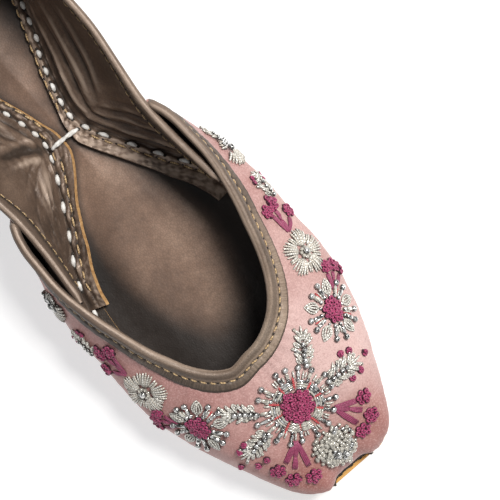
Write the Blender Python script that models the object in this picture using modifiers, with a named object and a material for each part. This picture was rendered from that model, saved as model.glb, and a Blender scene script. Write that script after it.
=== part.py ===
"""Mojari shoe: a straight-lasted slipper with a square toe, one hollow upper
turned in over an insole, on a thin waisted leather sole.

Metres, +Z up.  The toe points to -Y and the heel to +Y, X runs across, and
the shoe is symmetric about X = 0.  It stands on Z = 0.  In the tables,
lengths are in millimetres and `t` is the distance from the front of the toe.
"""
import math

import bmesh
import bpy
import numpy as np

# ---------------------------------------------------------------- dimensions
MM = 0.001
LENGTH = 252.0          # toe to heel along the sole
BALL_WIDTH = 85.0       # widest sole
WAIST_WIDTH = 29.0      # narrowest sole
INSTEP = 40.0           # height of the throat's front
HEEL_HEIGHT = 54.5      # height of the topline at the heel
SOLE_THICK = 4.0        # forefoot thickness of the outsole
INSOLE_THICK = 1.6
WALL = 1.8              # satin, lining and paste of the upper
GAP = 0.3               # clearance where two pieces meet
WING_WALL = 1.4
PIPING_THROAT = 3.2     # diameters of the rolled edges
PIPING_TOPLINE = 2.6
CORNER = 2.4            # outer radius where the wall turns in under the foot
TOE_RECESS = 2.6        # the upper's front edge steps back between its corners
HALF = LENGTH / 2.0

# Outline of the outsole: distance from the toe, half width.
SOLE_OUTLINE = (
    # t,     half width, upper's foot set in from the edge
    (0.0, 12.0, 0.8),
    (1.0, 14.6, 0.8),
    (4.0, 18.9, 0.8),
    (7.5, 21.5, 0.8),
    (13.0, 24.4, 0.8),
    (18.0, 27.0, 0.8),
    (26.0, 30.9, 0.8),
    (35.0, 34.6, 0.8),
    (46.0, 38.2, 0.8),
    (60.0, 41.0, 0.8),
    (72.0, 42.1, 0.8),
    (86.0, BALL_WIDTH / 2.0, 0.8),
    (98.0, 42.0, 0.8),
    (112.0, 40.0, 0.8),
    (120.0, 37.9, 0.9),
    (129.0, 33.4, 1.2),
    (137.0, 28.8, 1.7),
    (147.0, 23.7, 2.3),
    (156.0, 19.2, 3.0),
    (163.0, 16.3, 3.6),
    (170.0, WAIST_WIDTH / 2.0, 3.8),
    (176.0, 15.1, 3.4),
    (187.0, 17.6, 2.8),
    (196.0, 20.2, 2.2),
    (206.0, 23.0, 1.6),
    (214.0, 25.2, 1.1),
    (222.0, 26.9, 0.8),
    (230.0, 27.2, 0.8),
    (238.0, 25.2, 0.8),
    (245.0, 20.2, 0.8),
    (250.0, 11.5, 0.8),
    (LENGTH, 0.0, 0.8),
)

# Side profile of the outsole: underside and top, heights above the floor.
SOLE_PROFILE = (
    # t,   under, top
    (0.0, 5.2, 8.8),
    (6.0, 3.9, 7.6),
    (14.0, 2.3, 6.2),
    (24.0, 0.8, 4.8),
    (34.0, 0.0, SOLE_THICK),
    (108.0, 0.0, SOLE_THICK),
    (122.0, 0.7, 4.6),
    (138.0, 1.8, 5.6),
    (154.0, 2.7, 6.4),
    (172.0, 3.0, 6.8),
    (188.0, 3.0, 7.0),
    (189.5, 0.0, 7.0),
    (LENGTH, 0.0, 7.0),
)

# The upper's sections, each a curve from the sole's edge to the collar.
# sole_t is where a section stands on the outline; the collar's point is given
# by cx, ct, cz; rise and bulge shape the curve above the sole, and reach and
# drop shape it below the collar.
UPPER_SECTIONS = (
    # name,        sole_t, cx,   ct,    cz,     bulge, rise, reach, drop
    ("toe centre", -1.0, 0.0, 58.5, INSTEP, 0.2, 11.0, 28.0, 7.0),
    ("toe corner", 0.0, 6.4, 59.6, INSTEP, 0.3, 11.0, 28.0, 7.0),
    ("corner back", 4.0, 11.4, 61.9, 40.2, 0.8, 12.0, 26.0, 7.0),
    ("toe side", 15.0, 16.8, 65.6, 40.4, 2.2, 13.0, 21.0, 8.0),
    ("little toe", 35.0, 22.6, 72.3, 40.8, 3.8, 15.0, 16.0, 10.0),
    ("forefoot", 60.0, 27.3, 81.2, 41.4, 6.6, 16.0, 13.5, 13.0),
    ("ball", 86.0, 31.7, 94.8, 42.0, 7.6, 17.0, 10.5, 14.0),
    ("ball back", 103.0, 34.2, 107.5, 42.4, 8.0, 17.0, 9.5, 14.0),
    ("quarter front", 118.0, 33.4, 120.0, 41.0, 6.8, 16.0, 5.5, 14.0),
    ("wing middle", 133.0, 31.9, 134.5, 41.2, 7.0, 14.0, 3.5, 14.0),
    ("wing end", 148.0, 31.2, 150.0, 42.6, 9.0, 12.0, 1.0, 14.0),
    ("waist", 167.0, 33.2, 168.0, 44.4, 10.0, 11.0, -1.5, 15.0),
    ("heel front", 186.0, 35.6, 187.0, 46.4, 9.0, 12.0, -1.0, 16.0),
    ("heel side", 207.0, 35.4, 208.0, 49.0, 5.5, 14.0, 0.5, 17.0),
    ("heel round", 230.0, 29.8, 229.5, 52.4, 3.0, 16.0, 1.0, 18.0),
    ("heel back", 246.0, 16.0, 244.5, 54.0, 1.8, 17.0, 1.8, 19.0),
    ("heel centre", LENGTH, 0.0, 249.2, HEEL_HEIGHT, 1.5, 17.0, 2.0, 19.0),
)

# Width of the turned-in bottom margin. The quarter's is wider, and begins
# with a square end.
MARGIN = (
    # t, width
    (0.0, 8.0),
    (115.6, 8.2),
    (117.2, 13.2),
    (128.0, 13.2),
    (136.0, 12.0),
    (148.0, 11.8),
    (160.0, 11.5),
    (167.0, 9.4),
    (176.0, 7.6),
    (195.0, 7.1),
    (217.0, 6.3),
    (LENGTH, 6.3),
)

# The vamp's wings: how far their top edge stands off outside the quarter,
# and its height.
WING = (
    # t at collar, stand-off, height
    (104.0, 0.0, 42.2),
    (111.0, 1.2, 42.7),
    (118.0, 2.8, 43.0),
    (128.0, 4.1, 43.3),
    (138.0, 4.4, 43.3),
    (145.0, 3.5, 43.0),
    (149.0, 2.1, 42.4),
    (152.5, 0.7, 41.6),
)

STATIONS = 42           # sections between toe centre and heel centre
WALL_ROWS = 11          # rows from the sole's edge to the collar

# ------------------------------------------------------------ small helpers


def column(table, key, values):
    """A smooth curve through two columns of a table that never overshoots."""
    x = np.array([row[key] for row in table], float)
    y = np.array([row[values] for row in table], float)
    h, d = np.diff(x), np.diff(y) / np.diff(x)
    m = np.zeros_like(y)
    m[0], m[-1] = d[0], d[-1]
    for i in range(1, len(x) - 1):
        if d[i - 1] * d[i] > 0.0:
            w1, w2 = 2 * h[i] + h[i - 1], h[i] + 2 * h[i - 1]
            m[i] = (w1 + w2) / (w1 / d[i - 1] + w2 / d[i])

    def at(q):
        q = min(max(q, x[0]), x[-1])
        i = min(int(np.searchsorted(x, q, side="right")) - 1, len(x) - 2)
        s = (q - x[i]) / h[i]
        return float((2 * s**3 - 3 * s**2 + 1) * y[i] + (s**3 - 2 * s**2 + s) * h[i] * m[i]
                     + (3 * s**2 - 2 * s**3) * y[i + 1] + (s**3 - s**2) * h[i] * m[i + 1])
    return at


def smooth(a, b, q):
    """0 before a, 1 after b, and a soft step between."""
    s = min(max((q - a) / (b - a), 0.0), 1.0)
    return s * s * (3.0 - 2.0 * s)


def world(x, t, z):
    """Shoe measurements in millimetres to a point in metres."""
    return (x * MM, (t - HALF) * MM, z * MM)


half_width = column(SOLE_OUTLINE, 0, 1)
underside = column(SOLE_PROFILE, 0, 1)
sole_top = column(SOLE_PROFILE, 0, 2)

# The half outline as a fine line, from the toe's centre along the straight
# front edge and round to the heel's centre, with its running length.
_ts = np.concatenate([np.linspace(0.0, 15.0, 60), np.linspace(15.2, 236.0, 400),
                      236.0 + 16.0 * np.sin(np.linspace(0.01, 0.5, 90) * math.pi)])
_line = [(0.0, 0.0)] + [(half_width(t), t) for t in _ts]
_line[-1] = (0.0, LENGTH)
OUTLINE = np.array(_line)
RUN = np.concatenate([[0.0], np.cumsum(np.hypot(*np.diff(OUTLINE, axis=0).T))])


half_inset = column(SOLE_OUTLINE, 0, 2)
margin_width = column(MARGIN, 0, 1)


def outline_at(run, inset=0.0):
    """A point of the sole's outline, moved inward square to the edge."""
    x = np.interp(run, RUN, OUTLINE[:, 0])
    t = np.interp(run, RUN, OUTLINE[:, 1])
    if inset:
        a, b = max(run - 1.5, 0.0), min(run + 1.5, RUN[-1])
        ex = np.interp(b, RUN, OUTLINE[:, 0]) - np.interp(a, RUN, OUTLINE[:, 0])
        et = np.interp(b, RUN, OUTLINE[:, 1]) - np.interp(a, RUN, OUTLINE[:, 1])
        n = math.hypot(ex, et)
        x, t = x - inset * et / n, t + inset * ex / n
        x = max(x, 0.0)
    return float(x), float(t)


def run_of(t):
    """Running length where the outline reaches t; -1 is the toe's centre."""
    return 0.0 if t < 0.0 else float(np.interp(t, OUTLINE[1:, 1], RUN[1:]))


SECTION_RUNS = [(run_of(row[1]),) + row[2:] for row in UPPER_SECTIONS]
SECTION = [column(SECTION_RUNS, 0, k) for k in range(1, 8)]


def station_runs(first, last, count):
    """Stations along the outline, closer round the toe and the heel."""
    total = RUN[-1]
    fine = np.linspace(0.0, total, 800)
    weight = 1.0 + 2.2 * np.exp(-((fine - 13.0) / 16.0) ** 2) + 0.9 * np.exp(-((fine - total) / 30.0) ** 2)
    cum = np.concatenate([[0.0], np.cumsum((weight[1:] + weight[:-1]) * np.diff(fine) / 2.0)])
    a, b = np.interp([first, last], fine, cum)
    return [float(np.interp(c, cum, fine)) for c in np.linspace(a, b, count + 1)]


def toe_recess(run):
    """The front edge of the upper steps back between the toe's corners."""
    return TOE_RECESS * (1.0 - smooth(5.5, 11.5, run))


def frame_at(run):
    """The section's foot on the sole's edge, and its outward direction."""
    bx, bt = outline_at(run, half_inset(outline_at(run)[1]))
    sx, st = 0.35 * bx, min(max(bt, 22.0), 230.0)
    ox, ot = bx - sx, bt - st
    n = math.hypot(ox, ot)
    return bx, bt, ox / n, ot / n


def wall_point(run, s):
    """A point of the upper's outer face; s runs 0 to 1, sole to collar."""
    bx, bt, ox, ot = frame_at(run)
    cx, ct, cz, bulge, rise, reach, drop = (f(run) for f in SECTION)
    foot = sole_top(bt) + INSOLE_THICK + 2 * GAP + CORNER
    p = [np.array(v) for v in (
        (bx, bt + toe_recess(run), foot),
        (bx + ox * bulge, bt + ot * bulge, foot + rise),
        (cx + ox * reach, ct + ot * reach, cz - drop),
        (cx, ct, cz))]
    return ((1 - s) ** 3 * p[0] + 3 * s * (1 - s) ** 2 * p[1]
            + 3 * s * s * (1 - s) * p[2] + s ** 3 * p[3])


def margin_points(run):
    """The turned-in margin and the rounded corner below the wall."""
    bx, bt, ox, ot = frame_at(run)
    width = margin_width(bt)
    bt += toe_recess(run)
    points = []
    for inward, lift in ((width, 0.0), (width * 0.6, 0.0), (CORNER, 0.0),
                         (CORNER * 0.617, CORNER * 0.076), (CORNER * 0.293, CORNER * 0.293),
                         (CORNER * 0.076, CORNER * 0.617)):
        x, t = bx - ox * inward, bt - ot * inward
        points.append((x, t, sole_top(t if inward > CORNER else bt) + INSOLE_THICK + 2 * GAP + lift))
    return points


# ------------------------------------------------------------ scene helpers
for old in list(bpy.data.objects):
    bpy.data.objects.remove(old, do_unlink=True)

parts = bpy.data.collections.new("mojari_shoe")
cutters = bpy.data.collections.new("construction")
for group in (parts, cutters):
    bpy.context.scene.collection.children.link(group)


def material(name, colour, roughness, metallic=0.0):
    m = bpy.data.materials.new(name)
    m.use_nodes = True
    bsdf = m.node_tree.nodes["Principled BSDF"]
    bsdf.inputs["Base Color"].default_value = (*colour, 1.0)
    bsdf.inputs["Roughness"].default_value = roughness
    bsdf.inputs["Metallic"].default_value = metallic
    return m


def mesh_object(name, verts, faces, mat, group=parts):
    mesh = bpy.data.meshes.new(name)
    mesh.from_pydata([world(*v) for v in verts], [], faces)
    mesh.update()
    obj = bpy.data.objects.new(name, mesh)
    mesh.materials.append(mat)
    group.objects.link(obj)
    return obj


def grid(rows):
    """Faces of a sheet given as rows of points of equal length."""
    verts = [p for row in rows for p in row]
    n = len(rows[0])
    faces = [(i * n + j, (i + 1) * n + j, (i + 1) * n + j + 1, i * n + j + 1)
             for i in range(len(rows) - 1) for j in range(n - 1)]
    return verts, faces


def mirror(obj):
    mod = obj.modifiers.new("mirror", "MIRROR")
    mod.use_axis = (True, False, False)
    mod.merge_threshold = 0.00005
    mod.use_clip = True


def smooth_shade(obj, degrees=40.0):
    obj.data.shade_smooth()
    obj.data.set_sharp_from_angle(angle=math.radians(degrees))


# -------------------------------------------------------- outsole and insole
def layer(name, inset, bottom, top, mat, bevel):
    """A flat layer of leather cut to the sole's outline."""
    runs = [run_of(0.0)] + station_runs(run_of(0.0), RUN[-1], 56)[1:]
    # rungs at the ends of the flat spots, so that they are truly flat
    runs = sorted(set(runs) | {run_of(t) for t in (34.0, 108.0, 188.0, 189.5)})
    rail = []
    for run in runs:
        x, t = outline_at(run, inset)
        if rail and t <= rail[-1][1] + 0.15 and run < RUN[-1]:
            continue
        rail.append((x, t))
    rail[0] = (outline_at(runs[0], 0.0)[0] - inset, inset)
    rail[-1] = (0.0, LENGTH - inset)
    bm = bmesh.new()
    edge = [bm.verts.new(world(x, t, bottom(t))) for x, t in rail[:-1]]
    spine = [bm.verts.new(world(0.0, t, bottom(t))) for _, t in rail]
    for i in range(len(edge) - 1):
        bm.faces.new((spine[i], spine[i + 1], edge[i + 1], edge[i]))
    bm.faces.new((spine[-2], spine[-1], edge[-1]))
    lifted = bmesh.ops.extrude_face_region(bm, geom=list(bm.faces))
    for v in (g for g in lifted["geom"] if isinstance(g, bmesh.types.BMVert)):
        t = v.co.y / MM + HALF
        v.co.z = top(t) * MM
    for f in [f for f in bm.faces if all(abs(v.co.x) < 1e-7 for v in f.verts)]:
        bm.faces.remove(f)
    bmesh.ops.recalc_face_normals(bm, faces=list(bm.faces))
    mesh = bpy.data.meshes.new(name)
    bm.to_mesh(mesh)
    bm.free()
    mesh.materials.append(mat)
    obj = bpy.data.objects.new(name, mesh)
    parts.objects.link(obj)
    mirror(obj)
    if bevel:
        mod = obj.modifiers.new("edge", "BEVEL")
        mod.width = bevel * MM
        mod.segments = 1
        mod.limit_method = "ANGLE"
        mod.angle_limit = math.radians(60.0)
    return obj


tan_leather = material("sole_leather", (0.56, 0.33, 0.11), 0.55)
bronze_leather = material("bronze_leather", (0.19, 0.13, 0.10), 0.42, 0.35)
pink_satin = material("pink_satin", (0.55, 0.27, 0.25), 0.45)

outsole = layer("outsole", 0.0, underside, sole_top, tan_leather, 0.5)
insole = layer("insole", 1.7, lambda t: sole_top(t) + GAP,
               lambda t: sole_top(t) + GAP + INSOLE_THICK, bronze_leather, 0.0)

# ------------------------------------------------------------------- upper
half_rows = []
for run in sorted(station_runs(0.0, RUN[-1], STATIONS) + [run_of(115.6), run_of(117.2)]):
    section = margin_points(run)
    section += [tuple(wall_point(run, i / (WALL_ROWS - 1))) for i in range(WALL_ROWS)]
    half_rows.append(section)
for row in (half_rows[0], half_rows[-1]):
    row[:] = [(0.0, t, z) for _, t, z in row]
verts, faces = grid(half_rows)
upper = mesh_object("upper", verts, faces, pink_satin)
mirror(upper)
shell = upper.modifiers.new("wall", "SOLIDIFY")
shell.thickness = WALL * MM
shell.offset = -1.0

# The wings: the vamp's rear ends, which leave the quarter and stand off it.
stand_off = column(WING, 0, 1)
wing_height = column(WING, 0, 2)


def wing_point(run, s):
    """A point of a wing's outer face; s runs from the sole to its top."""
    _, _, ox, ot = frame_at(run)
    ct, cz = SECTION[1](run), SECTION[2](run)
    x, t, z = wall_point(run, s)
    off = -0.2 + (stand_off(ct) + 0.2) * smooth(0.10, 0.62, s)
    low = wall_point(run, 0.0)[2]
    grow = (wing_height(ct) - low) / (cz - low)
    lift = 1.0 + (grow - 1.0) * smooth(0.0, 1.0, s)
    return (x + ox * off, t + ot * off, low + (z - low) * lift)


wing_first = float(np.interp(102.0, [SECTION[1](r) for r in RUN], RUN))
wing_last = float(np.interp(152.5, [SECTION[1](r) for r in RUN], RUN))
wing_runs = [wing_first + (wing_last - wing_first) * k / 14.0 for k in range(15)]
wing_rows = [[wing_point(run, 0.06 + 0.94 * i / 9.0) for i in range(10)] for run in wing_runs]
for row in wing_rows[:1]:
    # the front edge ends inside the vamp's wall
    row[:] = [(x - 0.1, t, z - 0.5 * k / 9.0) for k, (x, t, z) in enumerate(row)]
verts, faces = grid(wing_rows)
wings = mesh_object("wings", verts, faces, pink_satin, cutters)
wings.hide_render = True
wings.display_type = "WIRE"
mirror(wings)
flap = wings.modifiers.new("wall", "SOLIDIFY")
flap.thickness = WING_WALL * MM
flap.offset = -1.0
join = upper.modifiers.new("wings", "BOOLEAN")
join.operation = "UNION"
join.solver = "EXACT"
join.object = wings


# ------------------------------------------------------------------ pipings
def tube(name, path, diameter, mat):
    curve = bpy.data.curves.new(name, "CURVE")
    curve.dimensions = "3D"
    curve.bevel_depth = diameter / 2.0 * MM
    curve.bevel_resolution = 2
    curve.use_fill_caps = True
    spline = curve.splines.new("POLY")
    spline.points.add(len(path) - 1)
    for point, place in zip(spline.points, path):
        point.co = (*world(*place), 1.0)
    curve.materials.append(mat)
    obj = bpy.data.objects.new(name, curve)
    parts.objects.link(obj)
    return obj


def rim(run, diameter, wing=False):
    """Centre of a rolled edge above the middle of the wall's rim."""
    _, _, ox, ot = frame_at(run)
    thick = WING_WALL if wing else WALL
    x, t, z = wing_point(run, 1.0) if wing else wall_point(run, 1.0)
    lift = diameter / 2.0 + GAP + 0.12
    return (max(x - ox * thick / 2.0, 0.0), t - ot * thick / 2.0, z + lift)


def both_sides(half):
    """A path over the middle of the shoe, from its right half."""
    return [(-x, t, z) for x, t, z in half[:0:-1]] + [(0.0,) + tuple(half[0][1:])] + half[1:]


throat = [rim(run, PIPING_THROAT) for run in station_runs(0.0, wing_first, 22)]
throat += [rim(run, PIPING_THROAT, True) for run in wing_runs[2:-2]]
tube("throat_piping", both_sides(throat), PIPING_THROAT, bronze_leather)

quarter_front = float(np.interp(119.0, [SECTION[1](r) for r in RUN], RUN))
topline = [rim(run, PIPING_TOPLINE) for run in station_runs(quarter_front, RUN[-1], 26)]
tube("topline_piping", both_sides(topline[::-1]), PIPING_TOPLINE, bronze_leather)

smooth_shade(upper)
smooth_shade(outsole, 30.0)
smooth_shade(insole, 30.0)
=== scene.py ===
"""Looks of a mojari shoe: satin vamp with bead and thread embroidery, bronze
leather quarter, lining, footbed and bindings, on a thin tan leather sole.

Shoe measurements are in millimetres: x across, t from the front of the toe,
z up.  The toe points to -Y.
"""
import math
import random

import bmesh
import bpy
import numpy as np
from mathutils import Matrix, Vector
from mathutils.bvhtree import BVHTree


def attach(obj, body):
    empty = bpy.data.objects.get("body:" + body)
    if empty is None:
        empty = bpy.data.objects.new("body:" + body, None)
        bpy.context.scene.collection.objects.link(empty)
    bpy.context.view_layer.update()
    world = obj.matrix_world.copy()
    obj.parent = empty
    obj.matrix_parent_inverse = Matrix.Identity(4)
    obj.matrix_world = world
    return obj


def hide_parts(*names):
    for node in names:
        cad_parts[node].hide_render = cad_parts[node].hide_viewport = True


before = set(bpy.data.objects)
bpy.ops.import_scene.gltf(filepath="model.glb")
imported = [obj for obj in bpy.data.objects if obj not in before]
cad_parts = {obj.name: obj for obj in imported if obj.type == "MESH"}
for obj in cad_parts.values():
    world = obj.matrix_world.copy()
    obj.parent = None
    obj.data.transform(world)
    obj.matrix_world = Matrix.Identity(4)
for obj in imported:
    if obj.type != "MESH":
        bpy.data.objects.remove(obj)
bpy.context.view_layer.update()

rng = random.Random(7)

# ------------------------------------------------------------- dimensions
MM = 0.001
LENGTH = 252.0
HALF = LENGTH / 2.0
INSOLE_THICK = 1.6
GAP = 0.3
WALL = 1.8
CORNER = 2.4
TOE_RECESS = 2.6

SOLE_OUTLINE = (
    # t,     half width, upper's foot set in from the edge
    (0.0, 12.0, 0.8), (1.0, 14.6, 0.8), (4.0, 18.9, 0.8), (7.5, 21.5, 0.8),
    (13.0, 24.4, 0.8), (18.0, 27.0, 0.8), (26.0, 30.9, 0.8), (35.0, 34.6, 0.8),
    (46.0, 38.2, 0.8), (60.0, 41.0, 0.8), (72.0, 42.1, 0.8), (86.0, 42.5, 0.8),
    (98.0, 42.0, 0.8), (112.0, 40.0, 0.8), (120.0, 37.9, 0.9), (129.0, 33.4, 1.2),
    (137.0, 28.8, 1.7), (147.0, 23.7, 2.3), (156.0, 19.2, 3.0), (163.0, 16.3, 3.6),
    (170.0, 14.5, 3.8), (176.0, 15.1, 3.4), (187.0, 17.6, 2.8), (196.0, 20.2, 2.2),
    (206.0, 23.0, 1.6), (214.0, 25.2, 1.1), (222.0, 26.9, 0.8), (230.0, 27.2, 0.8),
    (238.0, 25.2, 0.8), (245.0, 20.2, 0.8), (250.0, 11.5, 0.8), (LENGTH, 0.0, 0.8),
)
SOLE_PROFILE = (
    # t,   under, top
    (0.0, 5.2, 8.8), (6.0, 3.9, 7.6), (14.0, 2.3, 6.2), (24.0, 0.8, 4.8),
    (34.0, 0.0, 4.0), (108.0, 0.0, 4.0), (122.0, 0.7, 4.6), (138.0, 1.8, 5.6),
    (154.0, 2.7, 6.4), (172.0, 3.0, 6.8), (188.0, 3.0, 7.0), (189.5, 0.0, 7.0),
    (LENGTH, 0.0, 7.0),
)
UPPER_SECTIONS = (
    # name,        sole_t, cx,   ct,    cz,     bulge, rise, reach, drop
    ("toe centre", -1.0, 0.0, 58.5, 40.0, 0.2, 11.0, 28.0, 7.0),
    ("toe corner", 0.0, 6.4, 59.6, 40.0, 0.3, 11.0, 28.0, 7.0),
    ("corner back", 4.0, 11.4, 61.9, 40.2, 0.8, 12.0, 26.0, 7.0),
    ("toe side", 15.0, 16.8, 65.6, 40.4, 2.2, 13.0, 21.0, 8.0),
    ("little toe", 35.0, 22.6, 72.3, 40.8, 3.8, 15.0, 16.0, 10.0),
    ("forefoot", 60.0, 27.3, 81.2, 41.4, 6.6, 16.0, 13.5, 13.0),
    ("ball", 86.0, 31.7, 94.8, 42.0, 7.6, 17.0, 10.5, 14.0),
    ("ball back", 103.0, 34.2, 107.5, 42.4, 8.0, 17.0, 9.5, 14.0),
    ("quarter front", 118.0, 33.4, 120.0, 41.0, 6.8, 16.0, 5.5, 14.0),
    ("wing middle", 133.0, 31.9, 134.5, 41.2, 7.0, 14.0, 3.5, 14.0),
    ("wing end", 148.0, 31.2, 150.0, 42.6, 9.0, 12.0, 1.0, 14.0),
    ("waist", 167.0, 33.2, 168.0, 44.4, 10.0, 11.0, -1.5, 15.0),
    ("heel front", 186.0, 35.6, 187.0, 46.4, 9.0, 12.0, -1.0, 16.0),
    ("heel side", 207.0, 35.4, 208.0, 49.0, 5.5, 14.0, 0.5, 17.0),
    ("heel round", 230.0, 29.8, 229.5, 52.4, 3.0, 16.0, 1.0, 18.0),
    ("heel back", 246.0, 16.0, 244.5, 54.0, 1.8, 17.0, 1.8, 19.0),
    ("heel centre", LENGTH, 0.0, 249.2, 54.5, 1.5, 17.0, 2.0, 19.0),
)
VAMP_MARGIN = 7.4
QUARTER_MARGIN = (
    # t, width, lift of its free edge over the footbed
    (114.0, 12.6, 2.3), (120.0, 13.0, 2.2), (128.0, 13.2, 2.0), (136.0, 12.0, 1.8),
    (148.0, 11.8, 1.5), (160.0, 11.5, 1.0), (167.0, 9.4, 0.6), (176.0, 7.6, 0.5),
    (195.0, 7.1, 0.4), (217.0, 6.3, 0.3), (LENGTH, 6.3, 0.2),
)
WING = (
    # t at collar, stand-off, height
    (96.0, 0.0, 42.0), (104.0, 0.25, 42.3), (111.0, 1.3, 42.7), (118.0, 2.8, 43.0),
    (128.0, 4.1, 43.3), (138.0, 4.4, 43.3), (145.0, 3.5, 43.0), (149.0, 2.1, 42.4),
    (152.5, 0.7, 41.6),
)
QUARTER_FRONT = 113.6   # t where the quarter's front edge stands

# ------------------------------------------------------------- shape maths


def column(table, key, values):
    """A smooth curve through two columns of a table that never overshoots."""
    x = np.array([row[key] for row in table], float)
    y = np.array([row[values] for row in table], float)
    h, d = np.diff(x), np.diff(y) / np.diff(x)
    m = np.zeros_like(y)
    m[0], m[-1] = d[0], d[-1]
    for i in range(1, len(x) - 1):
        if d[i - 1] * d[i] > 0.0:
            w1, w2 = 2 * h[i] + h[i - 1], h[i] + 2 * h[i - 1]
            m[i] = (w1 + w2) / (w1 / d[i - 1] + w2 / d[i])

    def at(q):
        q = np.clip(np.asarray(q, float), x[0], x[-1])
        i = np.clip(np.searchsorted(x, q, side="right") - 1, 0, len(x) - 2)
        s = (q - x[i]) / h[i]
        return ((2 * s**3 - 3 * s**2 + 1) * y[i] + (s**3 - 2 * s**2 + s) * h[i] * m[i]
                + (3 * s**2 - 2 * s**3) * y[i + 1] + (s**3 - s**2) * h[i] * m[i + 1])
    return at


def smooth(a, b, q):
    s = np.clip((np.asarray(q, float) - a) / (b - a), 0.0, 1.0)
    return s * s * (3.0 - 2.0 * s)


def soften(values, sigma, odd):
    """A field along the half outline, blurred with its mirror image."""
    k = int(sigma * 3 / STEP)
    if k < 1:
        return values
    sign = -1.0 if odd else 1.0
    ends = (2 * values[0] - values[k:0:-1]) if odd and abs(values[0]) > 1e-6 else sign * values[k:0:-1]
    endr = (2 * values[-1] - values[-2:-k - 2:-1]) if odd and abs(values[-1]) > 1e-6 else sign * values[-2:-k - 2:-1]
    wide = np.concatenate([ends, values, endr])
    g = np.exp(-0.5 * (np.arange(-k, k + 1) * STEP / sigma) ** 2)
    return np.convolve(wide, g / g.sum(), "valid")


half_width = column(SOLE_OUTLINE, 0, 1)
half_inset = column(SOLE_OUTLINE, 0, 2)
underside = column(SOLE_PROFILE, 0, 1)
sole_top = column(SOLE_PROFILE, 0, 2)
_ts = np.concatenate([np.linspace(0.0, 15.0, 60), np.linspace(15.2, 236.0, 400),
                      236.0 + 16.0 * np.sin(np.linspace(0.01, 0.5, 90) * math.pi)])
OUTLINE = np.concatenate([[[0.0, 0.0]], np.stack([half_width(_ts), _ts], 1)])
OUTLINE[-1] = (0.0, LENGTH)
RUN = np.concatenate([[0.0], np.cumsum(np.hypot(*np.diff(OUTLINE, axis=0).T))])
TOTAL = float(RUN[-1])

# Every quantity of the upper's sections on one fine grid along the outline.
N_GRID = 1401
GRID = np.linspace(0.0, TOTAL, N_GRID)
STEP = GRID[1]


def _outline(run, inset):
    x = np.interp(run, RUN, OUTLINE[:, 0])
    t = np.interp(run, RUN, OUTLINE[:, 1])
    a, b = np.clip(run - 1.5, 0, TOTAL), np.clip(run + 1.5, 0, TOTAL)
    ex = np.interp(b, RUN, OUTLINE[:, 0]) - np.interp(a, RUN, OUTLINE[:, 0])
    et = np.interp(b, RUN, OUTLINE[:, 1]) - np.interp(a, RUN, OUTLINE[:, 1])
    n = np.hypot(ex, et)
    return np.maximum(x - inset * et / n, 0.0), t + inset * ex / n


F = {}
_x, _t = _outline(GRID, 0.0)
F["bx"], F["bt"] = _outline(GRID, half_inset(_t))
F["bx"][0] = F["bx"][-1] = 0.0
_sx, _st = 0.35 * F["bx"], np.clip(F["bt"], 22.0, 230.0)
_n = np.hypot(F["bx"] - _sx, F["bt"] - _st)
F["ox"], F["ot"] = (F["bx"] - _sx) / _n, (F["bt"] - _st) / _n
_rows = [((0.0 if r[1] < 0 else float(np.interp(r[1], OUTLINE[1:, 1], RUN[1:]))),) + r[2:]
         for r in UPPER_SECTIONS]
for _k, _name in enumerate(("cx", "ct", "cz", "bulge", "rise", "reach", "drop"), 1):
    F[_name] = column(_rows, 0, _k)(GRID)
for _name, _sig in (("bx", 0.9), ("bt", 0.9), ("ox", 2.5), ("ot", 2.5), ("cx", 4.0), ("ct", 4.0),
                    ("cz", 4.0), ("bulge", 5.0), ("rise", 5.0), ("reach", 5.0), ("drop", 5.0)):
    F[_name] = soften(F[_name], _sig, _name in ("bx", "ox", "cx"))
_n = np.hypot(F["ox"], F["ot"])
F["ox"], F["ot"] = F["ox"] / _n, F["ot"] / _n
F["recess"] = TOE_RECESS * (1.0 - smooth(3.6, 9.0, GRID))
F["off"] = column(WING, 0, 1)(F["ct"]) * (F["ct"] > WING[0][0])
F["wz"] = np.where(F["ct"] > WING[0][0], column(WING, 0, 2)(F["ct"]), F["cz"])
F["wz"] = F["cz"] + (F["wz"] - F["cz"]) * smooth(92.0, 110.0, F["ct"])
q_margin = column(QUARTER_MARGIN, 0, 1)
q_lift = column(QUARTER_MARGIN, 0, 2)


def field(name, run):
    return np.interp(run, GRID, F[name])


def run_at(name, value):
    return float(np.interp(value, F[name], GRID))


def main_point(run, s):
    """The main shell's outer face, arrays of run along the half outline and
    s from the sole (0) to the collar (1)."""
    bx, bt, ox, ot = (field(n, run) for n in ("bx", "bt", "ox", "ot"))
    foot = sole_top(bt) + INSOLE_THICK + 2 * GAP + CORNER
    a, b, c, d = (1 - s) ** 3, 3 * s * (1 - s) ** 2, 3 * s * s * (1 - s), s ** 3
    bulge, reach = field("bulge", run), field("reach", run)
    cx, ct, cz = field("cx", run), field("ct", run), field("cz", run)
    x = a * bx + b * (bx + ox * bulge) + c * (cx + ox * reach) + d * cx
    t = a * (bt + field("recess", run)) + b * (bt + ot * bulge) + c * (ct + ot * reach) + d * ct
    z = a * foot + b * (foot + field("rise", run)) + c * (cz - field("drop", run)) + d * cz
    return x, t, z


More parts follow.
